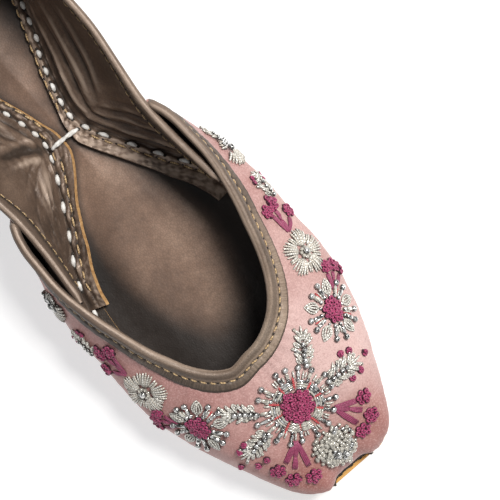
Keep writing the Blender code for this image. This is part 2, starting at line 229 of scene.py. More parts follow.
def vamp_point(run, s, left):
    """The vamp's outer face, with the wings standing off at the rear; left is
    true on the -x side."""
    x, t, z = main_point(run, s)
    off = 0.3 * smooth(96.0, 106.0, field("ct", run)) + field("off", run) * smooth(0.08, 0.60, s)
    low = main_point(run, np.zeros_like(s))[2]
    cz = field("cz", run)
    grow = (field("wz", run) - low) / (cz - low)
    lift = 1.0 + (grow - 1.0) * smooth(0.0, 1.0, s)
    # the satin is fuller than the leather under it round the toe
    bt = field("bt", run)
    full = np.where(left, smooth(6.0, 11.0, run), smooth(12.5, 19.0, run))
    off = off + 1.6 * full * (1 - smooth(62.0, 92.0, bt)) * smooth(0.0, 0.18, s) * (1 - smooth(0.42, 0.95, s))
    # the throat is drawn fuller at its left front corner
    near = np.where(left, smooth(0.0, 1.0, s), 0.0)
    wide = near * smooth(3.0, 14.0, run) * (1 - smooth(40.0, 74.0, run))
    t = t - 2.2 * near * smooth(0.0, 9.0, field("cx", run)) * (1 - smooth(18.0, 50.0, run)) - 0.2 * wide
    x = x + 1.2 * wide
    return (x + field("ox", run) * off, t + field("ot", run) * off + notch(run, left) * (1 - s) ** 3,
            low + (z - low) * lift)


def notch(run, left):
    """The satin's gathered edge keeps further back on the left of the toe."""
    return np.where(left, TOE_RECESS * (smooth(3.6, 9.0, run) - smooth(6.6, 13.0, run)), 0.0)


def under_points(run, width, lift=0.0, turned=CORNER):
    """Outer corner and turned-in margin below a wall, inner edge first."""
    bx, bt, ox, ot = (field(n, run) for n in ("bx", "bt", "ox", "ot"))
    bt = bt + field("recess", run)
    rows = []
    for inward, up in ((width, 0.0), (width * 0.86, 0.0), (width * 0.72, 0.0), (width * 0.58, 0.0),
                       (width * 0.44, 0.0), (turned, 0.0), (turned * 0.617, turned * 0.076),
                       (turned * 0.293, turned * 0.293), (turned * 0.076, turned * 0.617)):
        x, t = bx - ox * inward, bt - ot * inward
        flat = 1.0 if inward is not width and up > 0 else 1.0
        rows.append((x, t, sole_top(t) + INSOLE_THICK + 2 * GAP + up + lift * (up == 0.0) * flat))
    return rows


def metres(x, t, z):
    return np.stack([x * MM, (t - HALF) * MM, z * MM], -1)

# ------------------------------------------------------------- mesh making
def normals(p):
    """Outward unit normals of a grid of points, by differences."""
    du = np.gradient(p, axis=0)
    dv = np.gradient(p, axis=1)
    n = np.cross(du, dv)
    return n / np.maximum(np.linalg.norm(n, axis=-1, keepdims=True), 1e-9)


def unit(v):
    return v / np.maximum(np.linalg.norm(v, axis=-1, keepdims=True), 1e-12)


class Kit:
    """Gathers closed shapes, in shoe millimetres, into one mesh object."""

    def __init__(self, name, materials, slot):
        self.name, self.materials, self.slot = name, materials, slot
        self.verts, self.strand, self.count = [], [], 0
        self.quads, self.tris = [], []

    def add(self, verts, quads=(), tris=(), mat=0, strand=None):
        verts = np.asarray(verts, float).reshape(-1, 3)
        self.verts.append(verts)
        self.strand.append(np.zeros_like(verts) if strand is None else np.asarray(strand, float).reshape(-1, 3))
        for faces, store in ((quads, self.quads), (tris, self.tris)):
            if len(faces):
                faces = np.asarray(faces, np.int64)
                mats = np.full(len(faces), mat) if np.isscalar(mat) else np.asarray(mat)
                store.append((faces + self.count, mats))
        self.count += len(verts)

    def build(self, sharp=42.0):
        v = np.concatenate(self.verts)
        s = np.concatenate(self.strand)
        mesh = bpy.data.meshes.new(self.name)
        mesh.vertices.add(len(v))
        mesh.vertices.foreach_set("co", metres(v[:, 0], v[:, 1], v[:, 2]).astype(np.float32).ravel())
        loops, sizes, mats = [], [], []
        for store, k in ((self.quads, 4), (self.tris, 3)):
            if store:
                f = np.concatenate([a for a, _ in store])
                loops.append(f.ravel())
                sizes.append(np.full(len(f), k))
                mats.append(np.concatenate([b for _, b in store]))
        loops, sizes, mats = np.concatenate(loops), np.concatenate(sizes), np.concatenate(mats)
        mesh.loops.add(len(loops))
        mesh.loops.foreach_set("vertex_index", loops.astype(np.int32))
        mesh.polygons.add(len(sizes))
        starts = np.concatenate([[0], np.cumsum(sizes)[:-1]])
        mesh.polygons.foreach_set("loop_start", starts.astype(np.int32))
        mesh.polygons.foreach_set("loop_total", sizes.astype(np.int32))
        mesh.polygons.foreach_set("material_index", mats.astype(np.int32))
        attribute = mesh.attributes.new("strand", "FLOAT_VECTOR", "POINT")
        attribute.data.foreach_set("vector", s.astype(np.float32).ravel())
        mesh.update(calc_edges=True)
        mesh.validate()
        for m in self.materials:
            mesh.materials.append(m)
        mesh.shade_smooth()
        if sharp:
            mesh.set_sharp_from_angle(angle=math.radians(sharp))
        obj = bpy.data.objects.new(self.name, mesh)
        bpy.context.scene.collection.objects.link(obj)
        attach(obj, "root")
        return obj


def shell_faces(nu, nv):
    """Quads of a closed shell made of an outer and an inner grid."""
    idx = np.arange(nu * nv).reshape(nu, nv)
    a, b, c, d = idx[:-1, :-1], idx[1:, :-1], idx[1:, 1:], idx[:-1, 1:]
    outer = np.stack([a, b, c, d], -1).reshape(-1, 4)
    off = nu * nv
    inner = np.stack([a, d, c, b], -1).reshape(-1, 4) + off
    low = np.stack([idx[:-1, 0], idx[:-1, 0] + off, idx[1:, 0] + off, idx[1:, 0]], -1)
    top = np.stack([idx[:-1, -1], idx[1:, -1], idx[1:, -1] + off, idx[:-1, -1] + off], -1)
    first = np.stack([idx[0, :-1], idx[0, 1:], idx[0, 1:] + off, idx[0, :-1] + off], -1)
    last = np.stack([idx[-1, :-1], idx[-1, :-1] + off, idx[-1, 1:] + off, idx[-1, 1:]], -1)
    return outer, inner, low, top, first, last


def sweep(kit, centre, across, up, profile, mat=0, closed=False, shade=None):
    """A closed profile, (across, up) pairs, carried along a line of frames."""
    n, k = len(centre), len(profile[0]) if np.ndim(profile) == 3 else len(profile)
    prof = np.broadcast_to(np.asarray(profile, float), (n, k, 2))
    p = centre[:, None, :] + across[:, None, :] * prof[..., :1] + up[:, None, :] * prof[..., 1:]
    idx = np.arange(n * k).reshape(n, k)
    nxt = np.roll(idx, -1, 1)
    quads = np.stack([idx[:-1], idx[1:], nxt[1:], nxt[:-1]], -1).reshape(-1, 4)
    along = np.concatenate([[0], np.cumsum(np.linalg.norm(np.diff(centre, axis=0), axis=1))])
    ang = np.linspace(0, 2 * math.pi, k, endpoint=False)
    strand = np.stack([np.repeat(along[:, None], k, 1), np.tile(np.cos(ang), (n, 1)), np.tile(np.sin(ang), (n, 1))], -1)
    if shade is not None:
        strand[..., 0] = np.broadcast_to(shade, (n, k))
    verts = p.reshape(-1, 3)
    caps = []
    if not closed:
        ends = np.stack([p[0].mean(0), p[-1].mean(0)])
        verts = np.concatenate([verts, ends])
        strand = np.concatenate([strand.reshape(-1, 3), np.zeros((2, 3))])
        for j in range(k):
            caps.append((n * k, idx[0, j], idx[0, (j + 1) % k]))
            caps.append((n * k + 1, idx[-1, (j + 1) % k], idx[-1, j]))
    kit.add(verts, quads, caps, mat, strand.reshape(-1, 3))


def tube(kit, pts, normal, radius, flat=1.0, sides=8, mat=0, ends=0.55):
    """A soft thread through points; normal is the way up along it, and flat
    squashes it towards the surface."""
    pts = np.asarray(pts, float)
    n = len(pts)
    tang = unit(np.gradient(pts, axis=0))
    normal = np.broadcast_to(np.asarray(normal, float), pts.shape)
    side = unit(np.cross(tang, normal))
    up = unit(np.cross(side, tang))
    r = np.full(n, float(radius)) if np.isscalar(radius) else np.asarray(radius, float).copy()
    r[0] *= ends
    r[-1] *= ends
    ang = np.linspace(0, 2 * math.pi, sides, endpoint=False)
    p = (pts[:, None] + side[:, None] * (np.cos(ang)[None, :, None] * r[:, None, None])
         + up[:, None] * (np.sin(ang)[None, :, None] * r[:, None, None] * flat))
    idx = np.arange(n * sides).reshape(n, sides)
    nxt = np.roll(idx, -1, 1)
    quads = np.stack([idx[:-1], nxt[:-1], nxt[1:], idx[1:]], -1).reshape(-1, 4)
    tips = np.stack([pts[0] - tang[0] * r[0] * 0.6, pts[-1] + tang[-1] * r[-1] * 0.6])
    tris = [(n * sides, idx[0, (j + 1) % sides], idx[0, j]) for j in range(sides)]
    tris += [(n * sides + 1, idx[-1, j], idx[-1, (j + 1) % sides]) for j in range(sides)]
    along = np.concatenate([[0], np.cumsum(np.linalg.norm(np.diff(pts, axis=0), axis=1))])
    strand = np.stack([np.repeat(along[:, None], sides, 1), np.tile(np.cos(ang), (n, 1)),
                       np.tile(np.sin(ang), (n, 1))], -1).reshape(-1, 3)
    strand = np.concatenate([strand, [[0, 0, 0.45], [along[-1], 0, 0.45]]])
    kit.add(np.concatenate([p.reshape(-1, 3), tips]), quads, tris, mat, strand)


def _ball(seg, rings):
    v = [(0, 0, -1)]
    for i in range(1, rings):
        a = math.pi * (i / rings - 0.5)
        v += [(math.cos(a) * math.cos(2 * math.pi * j / seg), math.cos(a) * math.sin(2 * math.pi * j / seg),
               math.sin(a)) for j in range(seg)]
    v.append((0, 0, 1))
    q, t = [], []
    for i in range(rings - 2):
        for j in range(seg):
            a, b = 1 + i * seg + j, 1 + i * seg + (j + 1) % seg
            q.append((a, b, b + seg, a + seg))
    last = len(v) - 1
    for j in range(seg):
        t.append((0, 1 + (j + 1) % seg, 1 + j))
        t.append((last, last - seg + j, last - seg + (j + 1) % seg))
    return np.array(v, float), np.array(q), np.array(t)


BALL = _ball(12, 8)


def bead(kit, p, n, r, squash=1.0, mat=0):
    """A round glass bead on the surface point p, a little flattened."""
    v, q, t = BALL
    n = unit(np.asarray(n, float))
    a = unit(np.cross(n, (0.3, 0.9, 0.1)))
    b = np.cross(n, a)
    pts = p + (v[:, :1] * a + v[:, 1:2] * b + v[:, 2:] * n * squash) * r
    kit.add(pts, q, t, mat, np.stack([v[:, 1], v[:, 0], v[:, 2]], -1))


# ------------------------------------------------------------- materials
class Mat:
    """Short hand for a node material in object coordinates."""

    def __init__(self, name, **sockets):
        self.m = bpy.data.materials.new(name)
        self.m.use_nodes = True
        self.t = self.m.node_tree
        self.b = self.t.nodes["Principled BSDF"]
        self.coord = self.t.nodes.new("ShaderNodeTexCoord").outputs["Object"]
        for key, value in sockets.items():
            self.b.inputs[key.replace("_", " ")].default_value = value

    def link(self, a, b):
        self.t.links.new(a, b)

    def node(self, kind, inputs=(), **props):
        n = self.t.nodes.new(kind)
        for k, v in props.items():
            setattr(n, k, v)
        for k, v in dict(inputs).items():
            s = n.inputs[k]
            if isinstance(v, bpy.types.NodeSocket):
                self.link(v, s)
            else:
                s.default_value = v
        return n

    def noise(self, scale, detail=3.0, rough=0.55, vec=None, distortion=0.0):
        return self.node("ShaderNodeTexNoise", {"Vector": vec or self.coord, "Scale": scale, "Detail": detail,
                                                "Roughness": rough, "Distortion": distortion}).outputs["Fac"]

    def cells(self, scale, vec=None, feature="DISTANCE_TO_EDGE", rnd=1.0):
        n = self.node("ShaderNodeTexVoronoi", {"Vector": vec or self.coord, "Scale": scale, "Randomness": rnd},
                      feature=feature)
        return n.outputs["Distance"]

    def stretch(self, x, y, z, vec=None, rot=(0, 0, 0)):
        return self.node("ShaderNodeMapping", {"Vector": vec or self.coord, "Scale": (x, y, z), "Rotation": rot}).outputs[0]

    def math(self, op, a, b=0.0, c=0.0, clamp=False):
        n = self.node("ShaderNodeMath", {0: a, 1: b, 2: c}, operation=op, use_clamp=clamp)
        return n.outputs[0]

    def ramp(self, fac, stops):
        n = self.node("ShaderNodeValToRGB", {"Fac": fac})
        e = n.color_ramp.elements
        while len(e) < len(stops):
            e.new(0.5)
        for el, (pos, col) in zip(e, stops):
            el.position = pos
            el.color = (*col, 1.0) if len(col) == 3 else col
        return n.outputs["Color"]

    def mix(self, fac, a, b, blend="MIX"):
        n = self.node("ShaderNodeMix", data_type="RGBA", blend_type=blend)
        for key, v in ((0, fac), (6, a), (7, b)):
            s = n.inputs[key]
            if isinstance(v, bpy.types.NodeSocket):
                self.link(v, s)
            else:
                s.default_value = (*v, 1.0) if isinstance(v, tuple) and len(v) == 3 else v
        return n.outputs[2]

    def map(self, fac, lo, hi, a=0.0, b=1.0):
        return self.node("ShaderNodeMapRange", {0: fac, 1: a, 2: b, 3: lo, 4: hi}).outputs[0]

    def bump(self, height, dist, strength=1.0, normal=None):
        n = self.node("ShaderNodeBump", {"Height": height, "Distance": dist, "Strength": strength})
        if normal is not None:
            self.link(normal, n.inputs["Normal"])
        return n.outputs[0]

    def done(self, colour=None, rough=None, normal=None):
        for key, v in (("Base Color", colour), ("Roughness", rough), ("Normal", normal)):
            if v is not None:
                self.link(v, self.b.inputs[key])
        return self.m


def rgb(r, g, b):
    """A display colour, 0 to 255, as linear light."""
    return tuple(((c / 255.0) / 12.92 if c / 255.0 <= 0.04045 else ((c / 255.0 + 0.055) / 1.055) ** 2.4)
                 for c in (r, g, b))


def bronze(name, lit, mid, dark, metal=0.18, rough=(0.42, 0.60), grain=1.0, folds=False, toe=False, left=False):
    m = Mat(name, Metallic=metal, Sheen_Weight=0.06, Sheen_Roughness=0.5)
    cloud = m.noise(38.0, 4.0, 0.6)
    fine = m.noise(420.0, 3.0, 0.6)
    c = m.ramp(cloud, [(0.30, rgb(*dark)), (0.50, rgb(*mid)), (0.72, rgb(*lit))])
    c = m.mix(m.map(fine, 0.0, 0.35, 0.35, 0.75), c, rgb(*[v * 0.72 for v in mid]))
    pores = m.cells(1050.0, m.stretch(1, 0.8, 1))
    c = m.mix(m.map(pores, 0.30, 0.0, 0.0, 0.12), c, rgb(*[v * 0.55 for v in dark]))
    if left:
        # painted shade: darker on the left, the side away from the key light, and darker along the wings and on to the
        # heel
        x, y = m.node("ShaderNodeSeparateXYZ", {0: m.coord}).outputs[:2]
        c = m.mix(m.node("ShaderNodeMapRange", {0: x, 1: 0.018, 2: -0.022, 3: 0.0, 4: 0.50},
                         interpolation_type="SMOOTHSTEP").outputs[0], c, rgb(92, 75, 64))
        c = m.mix(m.node("ShaderNodeMapRange", {0: y, 1: -0.046, 2: -0.012, 3: 0.0, 4: 0.52},
                         interpolation_type="SMOOTHSTEP").outputs[0], c, rgb(92, 75, 64))
    if folds:
        # painted shade in the troughs and painted highlight on the ridges, from the strand attribute's first value
        sep = m.node("ShaderNodeSeparateXYZ",
                     {0: m.node("ShaderNodeAttribute", attribute_name="strand").outputs["Vector"]}).outputs[0]
        fold_shade_and_tone = m.math("ADD", sep, m.map(m.noise(300.0, 3.0, 0.6), -0.10, 0.10, 0.3, 0.7))
        c = m.mix(m.node("ShaderNodeMapRange", {0: fold_shade_and_tone, 1: 0.12, 2: 0.95, 3: 0.0, 4: 0.80}).outputs[0], c, rgb(44, 36, 30))
        c = m.mix(m.node("ShaderNodeMapRange", {0: fold_shade_and_tone, 1: -0.12, 2: -0.75, 3: 0.0, 4: 0.65}).outputs[0], c, rgb(188, 166, 148))
    if toe:
        # painted shade: darker towards the toe box under the vamp, towards the edges and towards the heel, lighter in
        # the open middle
        x, y = m.node("ShaderNodeSeparateXYZ", {0: m.coord}).outputs[:2]
        u = m.math("MULTIPLY_ADD", x, 1000.0 / 16.6, -0.5 / 16.6)
        v = m.math("MAXIMUM", m.math("MULTIPLY_ADD", y, -1000.0 / 33.0, -14.0 / 33.0), 0.0)
        d = m.math("ADD", m.math("MULTIPLY", u, u), m.math("MULTIPLY", v, v))
        d = m.math("ADD", d, m.map(m.noise(30.0, 3.0, 0.6), -0.15, 0.15, 0.3, 0.7))
        d = m.math("ADD", d, m.map(y, 0.0, 1.02, 0.030, 0.078))
        c = m.mix(m.node("ShaderNodeMapRange", {0: d, 1: 0.40, 2: 2.1, 3: 0.0, 4: 0.94},
                         interpolation_type="SMOOTHSTEP").outputs[0], c, rgb(31, 26, 23))
        # painted shadow beside and under the turned-in margins, from the strand attribute's first value
        under = m.node("ShaderNodeSeparateXYZ",
                       {0: m.node("ShaderNodeAttribute", attribute_name="strand").outputs["Vector"]}).outputs[0]
        c = m.mix(m.map(under, 0.0, 0.88), c, rgb(24, 19, 16))
    b = m.bump(m.noise(95.0, 3.0, 0.5), 0.0009, 0.35)
    b = m.bump(pores, 0.00012 * grain, 0.8, b)
    b = m.bump(fine, 0.00016 * grain, 0.6, b)
    return m.done(c, m.map(m.noise(260.0, 3.0), rough[0], rough[1], 0.3, 0.7), b)


def satin():
    m = Mat("pink_satin", Sheen_Weight=0.10, Sheen_Roughness=0.35, Specular_IOR_Level=0.45)
    m.b.inputs["Sheen Tint"].default_value = (1.0, 0.80, 0.78, 1.0)
    cloud = m.noise(30.0, 4.0, 0.62, distortion=0.4)
    fine = m.noise(1500.0, 2.0, 0.7)
    c = m.ramp(cloud, [(0.30, rgb(174, 132, 127)), (0.52, rgb(192, 154, 148)), (0.75, rgb(208, 174, 167))])
    x, t = m.node("ShaderNodeSeparateXYZ", {0: m.coord}).outputs[:2]
    # painted highlight: a broad lighter patch on the right of the forefoot, towards the key light
    u, v = m.math("MULTIPLY_ADD", x, 40.0, -0.96), m.math("MULTIPLY_ADD", t, 40.0, 3.24)
    away = m.math("ADD", m.math("MULTIPLY", u, u), m.math("MULTIPLY", v, v))
    c = m.mix(m.node("ShaderNodeMapRange", {0: away, 1: 1.2, 2: 0.0, 3: 0.0, 4: 0.40},
                     interpolation_type="SMOOTHSTEP").outputs[0], c, rgb(236, 206, 200))
    # painted shade: darker and redder on the left, away from the key light
    c = m.mix(m.node("ShaderNodeMapRange", {0: x, 1: 0.004, 2: -0.036, 3: 0.0, 4: 0.42},
                     interpolation_type="SMOOTHSTEP").outputs[0], c, rgb(184, 116, 108))
    c = m.mix(m.node("ShaderNodeMapRange", {0: t, 1: -0.050, 2: -0.014, 3: 0.0, 4: 0.32},
                     interpolation_type="SMOOTHSTEP").outputs[0], c, rgb(178, 128, 121))
    # painted shade: deeper and redder where the satin curves down round the toe
    t = m.math("ADD", t, m.map(m.noise(55.0), -0.006, 0.006, 0.3, 0.7))
    c = m.mix(m.node("ShaderNodeMapRange", {0: t, 1: -0.090, 2: -0.122, 3: 0.0, 4: 0.74},
                     interpolation_type="SMOOTHSTEP").outputs[0], c, rgb(156, 92, 82))
    grainy = m.map(fine, -0.40, 0.42, 0.3, 0.7)
    c = m.mix(m.math("ABSOLUTE", grainy), c, m.mix(m.math("GREATER_THAN", grainy, 0.0), rgb(160, 110, 107), rgb(232, 194, 187)))
    warp = m.node("ShaderNodeTexWave", {"Vector": m.stretch(1, 1, 0.6), "Scale": 1500.0, "Distortion": 2.0, "Detail": 2.0,
                                        "Detail Scale": 1.5}, wave_type="BANDS", bands_direction="X").outputs["Fac"]
    weft = m.node("ShaderNodeTexWave", {"Vector": m.stretch(1, 1, 0.6), "Scale": 1100.0, "Distortion": 2.0, "Detail": 2.0,
                                        "Detail Scale": 1.5}, wave_type="BANDS", bands_direction="Y").outputs["Fac"]
    weave = m.math("MULTIPLY", warp, weft)
    b = m.bump(m.noise(60.0, 3.0, 0.5), 0.0008, 0.30)
    b = m.bump(m.noise(240.0, 3.0, 0.6, m.stretch(1, 0.45, 1)), 0.00022, 0.55, b)
    b = m.bump(weave, 0.00005, 0.6, b)
    b = m.bump(fine, 0.00010, 0.5, b)
    return m.done(c, m.map(m.noise(180.0, 3.0), 0.38, 0.56, 0.3, 0.7), b)


def suede_edge(name, light, dark):
    m = Mat(name, Roughness=0.75)
    c = m.ramp(m.noise(650.0, 4.0, 0.7), [(0.3, rgb(*dark)), (0.7, rgb(*light))])
    fibres = m.noise(1400.0, 3.0, 0.7, m.stretch(1, 1, 2.5))
    return m.done(c, None, m.bump(fibres, 0.00025, 0.8))


def thread(name, light, dark, rough=0.55, twist=5.0, sheen=0.4, metal=0.0, depth=0.00012, spec=0.5, flank=0.85,
           ply=0.55):
    """Twisted thread: the strand attribute gives length and angle round it."""
    m = Mat(name, Sheen_Weight=sheen, Sheen_Roughness=0.4, Metallic=metal, Roughness=rough, Specular_IOR_Level=spec)
    sep = m.node("ShaderNodeSeparateXYZ", {0: m.node("ShaderNodeAttribute", attribute_name="strand").outputs["Vector"]})
    along, cos, sin = sep.outputs
    k = m.math("MULTIPLY", along, twist)
    wave = m.math("ADD", m.math("MULTIPLY", m.math("SINE", k), cos), m.math("MULTIPLY", m.math("COSINE", k), sin))
    w = m.math("MULTIPLY_ADD", wave, 0.5, 0.5)
    fuzz = m.noise(2600.0, 3.0, 0.7)
    c = m.mix(m.map(w, 0.75, 0.0, 0.0, ply), rgb(*light), rgb(*dark))
    c = m.mix(m.map(m.noise(420.0, 2.0, 0.6), 0.0, 0.40, 0.45, 0.70), c, rgb(*dark))
    c = m.mix(m.map(fuzz, 0.45, 0.0, 0.3, 0.6), c, rgb(*dark))
    # painted shade down each thread's flanks and underside
    c = m.mix(m.map(sin, flank, 0.0, -0.1, 0.80), c, rgb(*[v * 0.55 for v in dark]))
    b = m.bump(w, depth, 0.9)
    b = m.bump(fuzz, 0.00006, 0.6, b)
    return m.done(c, None, b)


def glass(name, colour, metal, rough, dark=0.55, ring=0.8):
    m = Mat(name, Metallic=metal, Roughness=rough, Coat_Weight=0.9, Coat_Roughness=0.03, IOR=1.55)
    # painted reflections: a dark and light mottle over the bead's colour
    c = m.ramp(m.noise(820.0, 2.0, 0.6), [(0.40, rgb(*[v * dark for v in colour])), (0.54, rgb(*colour))])
    # painted shade: a dark ring round the bead's rim, from the strand attribute's up value
    up = m.node("ShaderNodeSeparateXYZ", {0: m.node("ShaderNodeAttribute", attribute_name="strand").outputs["Vector"]}).outputs[2]
    c = m.mix(m.map(up, ring, 0.0, 0.25, 0.80), c, rgb(*[v * dark * 0.45 for v in colour]))
    return m.done(c, None, m.bump(m.noise(900.0, 2.0), 0.00016, 0.6))


def tan_sole():
    m = Mat("sole_leather", Specular_IOR_Level=0.4)
    c = m.ramp(m.noise(55.0, 4.0, 0.6), [(0.3, rgb(186, 128, 62)), (0.7, rgb(228, 178, 100))])
    layers = m.noise(500.0, 3.0, 0.6, m.stretch(0.35, 0.35, 2.4))
    c = m.mix(m.map(layers, 0.0, 0.45, 0.45, 0.8), c, rgb(140, 90, 40))
    b = m.bump(layers, 0.00022, 0.7)
    b = m.bump(m.noise(1300.0, 3.0, 0.6), 0.00008, 0.6, b)
    return m.done(c, m.map(m.noise(120.0), 0.48, 0.68, 0.3, 0.7), b)


SATIN = satin()
# the lining's colours are set darker than the quarter's leather as painted shade for the inside of the toe box
LINING = bronze("bronze_lining", (96, 80, 67), (70, 58, 48), (48, 40, 33))
LEATHER = bronze("bronze_leather", (138, 115, 98), (108, 88, 74), (76, 61, 50), folds=True)
PIPING = bronze("bronze_piping", (188, 167, 148), (157, 136, 118), (116, 97, 82), metal=0.14, rough=(0.46, 0.60), grain=1.0, folds=True, left=True)
FOOTBED = bronze("bronze_footbed", (155, 127, 108), (131, 104, 87), (101, 79, 66), rough=(0.46, 0.60), grain=0.45, toe=True)
RAW = suede_edge("raw_leather_edge", (214, 172, 118), (158, 112, 64))
SOLE = tan_sole()
WHITE = thread("white_thread", (240, 238, 234), (205, 200, 193), 0.55, 2.4, depth=0.00012, flank=0.25)
GOLD = thread("tan_thread", (218, 188, 140), (136, 102, 66), 0.5, 7.0, flank=0.5)
MAGENTA = thread("magenta_thread", (190, 72, 118), (82, 17, 50), 0.42, 7.0, sheen=0.18, flank=0.95, ply=0.35)
STEM = thread("magenta_satin_stitch", (172, 80, 114), (104, 34, 64), 0.45, 11.0, sheen=0.12, depth=0.00006, flank=0.8, ply=0.5)
# dark magenta laid under knots and stems: painted shade in the gaps between their threads
GAP_SHADE = thread("magenta_gap_shade", (66, 12, 38), (40, 6, 24), 0.7, 3.0, sheen=0.0, flank=0.3)
CORAL = thread("coral_thread", (208, 88, 88), (150, 50, 58), 0.5, 6.0, flank=0.6)
SILVER_THREAD = thread("silver_thread", (252, 249, 241), (132, 123, 108), 0.28, 6.0, sheen=0.1, metal=0.18, depth=0.00010, flank=0.8, ply=0.40)
CREAM_THREAD = thread("cream_satin_thread", (230, 223, 211), (160, 150, 137), 0.36, 8.0, sheen=0.1, metal=0.2, flank=0.7)
BEAD = glass("silver_bead", (244, 243, 240), 0.62, 0.08, 0.34)
CLEAR = glass("clear_bead", (252, 246, 232), 0.04, 0.06, 0.72, 0.62)
CLEAR.node_tree.nodes["Principled BSDF"].inputs["Transmission Weight"].default_value = 0.40
# dark material: painted shade in the needle holes, and the paste at the toe
HOLE_SHADE_AND_PASTE = suede_edge("hole_shade_and_paste", (60, 50, 42), (28, 24, 20))

# ------------------------------------------------------------- the vamp
TOP = 0.97                       # the cloth stops inside the binding
WING_END = run_at("ct", 152.4)
Q_RUN = run_at("ct", QUARTER_FRONT)

vamp_runs = np.concatenate([np.arange(0.0, 24.0, 0.45), np.arange(24.0, WING_END - 4.0, 0.85),
                            np.linspace(WING_END - 4.0, WING_END, 9)])
VU = np.concatenate([-vamp_runs[:0:-1], vamp_runs])
VS = np.linspace(0.0, 1.0, 62)
VR = np.abs(VU)
SIGN = np.where(VU < 0, -1.0, 1.0)


def vamp_outer(signed_run, s):
    """Outer satin face at signed runs and heights, broadcast together."""
    run = np.abs(signed_run)
    x, t, z = vamp_point(run, s, signed_run < 0)
    return np.stack([x * np.where(signed_run < 0, -1.0, 1.0), t, z], -1)


def soft_noise(p, scale, seed):
    """Smooth made-up waviness from a few seeded sines."""
    g = random.Random(seed)
    out = np.zeros(p.shape[:-1])
    for k in range(14):
        d = np.array([g.gauss(0, 1), g.gauss(0, 1), g.gauss(0, 0.6)])
        d *= (0.6 + 1.2 * g.random()) / np.linalg.norm(d) * 2 * math.pi / scale
        out += np.sin(p @ d + g.random() * 6.28)
    return out / 3.7


wall = vamp_outer(VU[:, None], VS[None, :])
n_wall = normals(wall)
wall = wall + n_wall * (0.10 * soft_noise(wall, 17.0, 3) + 0.05 * soft_noise(wall, 6.0, 4))[..., None] \
    * smooth(0.0, 0.12, VS)[None, :, None]

# fine puckers where the satin is drawn in under the binding and at the toe
ripple = 0.10 * np.sin(VU[:, None] * 1.35 + 1.2 * np.sin(VU[:, None] * 0.21)) * smooth(0.80, 0.97, VS)[None, :]
ripple += 0.16 * np.sin(VU[:, None] * 1.9 + 0.8 * np.sin(VU[:, None] * 0.4)) * (1 - smooth(0.03, 0.16, VS))[None, :] \
    * np.exp(-((VR - 14.0) / 9.0) ** 2)[:, None]
wall = wall + n_wall * ripple[..., None]

margin_w = VAMP_MARGIN - 6.0 * smooth(Q_RUN + 1.0, Q_RUN + 5.0, VR)
under = under_points(VR, margin_w)
low = np.stack([np.stack([x * SIGN, t + notch(VR, SIGN < 0), z], -1) for x, t, z in under], 1)
n_margin = low.shape[1]
P = np.concatenate([low, wall], 1)
N = normals(P)
thick = np.where(VR < Q_RUN - 12.0, 1.0, 0.0)
base = WALL + (1.4 - WALL) * smooth(Q_RUN - 14.0, Q_RUN, VR)
T = np.repeat(base[:, None], P.shape[1], 1)
s_all = np.concatenate([np.zeros(n_margin), VS])
T *= 1.0 - 0.82 * smooth(Q_RUN - 4.0, Q_RUN + 1.0, VR)[:, None] * (1.0 - smooth(0.10, 0.55, s_all))[None, :]
T[:, :n_margin] = np.minimum(T[:, :n_margin], 1.25)
INNER = P - N * T[..., None]
# the inside corner and the margin's lining keep a soft rounded fold
VAMP_P, VAMP_N, VAMP_Q = P, N, INNER
nu, nv = P.shape[:2]
outer, inner, e_low, e_top, e_first, e_last = shell_faces(nu, nv)
col = np.tile(np.arange(nv - 1), nu - 1)
kit = Kit("vamp", [SATIN, LINING, RAW, HOLE_SHADE_AND_PASTE], "pink_satin")
mats_outer = np.zeros(len(outer), int)
faces = np.concatenate([outer, inner, e_low, e_top, e_first, e_last])
mats = np.concatenate([np.where(col >= 2, 0, 0), np.ones(len(inner), int), np.full(len(e_low), 2),
                       np.zeros(len(e_top), int), np.zeros(len(e_first) + len(e_last), int)])
kit.add(np.concatenate([P.reshape(-1, 3), INNER.reshape(-1, 3)]), faces, (), mats)
vamp = kit.build(50.0)
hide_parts("upper")

# ------------------------------------------------------------- the quarter
q_half = np.concatenate([np.linspace(Q_RUN, TOTAL - 0.9, 266), [TOTAL]])
QU = np.concatenate([q_half, 2 * TOTAL - q_half[-2::-1]])       # right front, heel, left front
QR = np.where(QU > TOTAL, 2 * TOTAL - QU, QU)
QSIGN = np.where(QU > TOTAL, -1.0, 1.0)
QS = np.linspace(0.0, 1.0, 63)

x, t, z = main_point(QR[:, None], QS[None, :])
q_wall = np.stack([x * QSIGN[:, None], t, z], -1)
foot_t = field("bt", QR)
q_w = q_margin(foot_t)
# the left one is narrower in front of the waist
q_w = q_w - np.where(QSIGN < 0, 2.3 + 0.6 * (1 - smooth(114.0, 122.0, foot_t)), 0.0) * (1 - smooth(142.0, 158.0, foot_t))
rows = under_points(QR, q_w, 0.0)
lift = q_lift(foot_t)
q_low = []
for k, (x, t, z) in enumerate(rows):
    inward = (1.0, 0.86, 0.72, 0.58, 0.44)[k] if k < 5 else 0.0
    q_low.append(np.stack([x * QSIGN, t, z + lift * inward * 0.9], -1))
q_low = np.stack(q_low, 1)
# finer rows across the margin
fine = []
for k in range(5):
    for j in range(4):
        a = j / 4.0
        fine.append(q_low[:, k] * (1 - a) + q_low[:, k + 1] * a)
q_low = np.concatenate([np.stack(fine, 1), q_low[:, 5:]], 1)
# its front end is cut askew
skew = 2.6 * np.where(QSIGN > 0, 0.3, 1.0) * (1 - smooth(0.0, 13.0, QR - Q_RUN))
q_low[:, :20, 1] -= skew[:, None] * (1 - np.arange(20) / 20.0)[None, :]
P = np.concatenate([q_low, q_wall], 1)
N = normals(P)
T = np.full(P.shape[:2], WALL - 0.1)
k = q_low.shape[1]
Q = P - N * T[..., None]
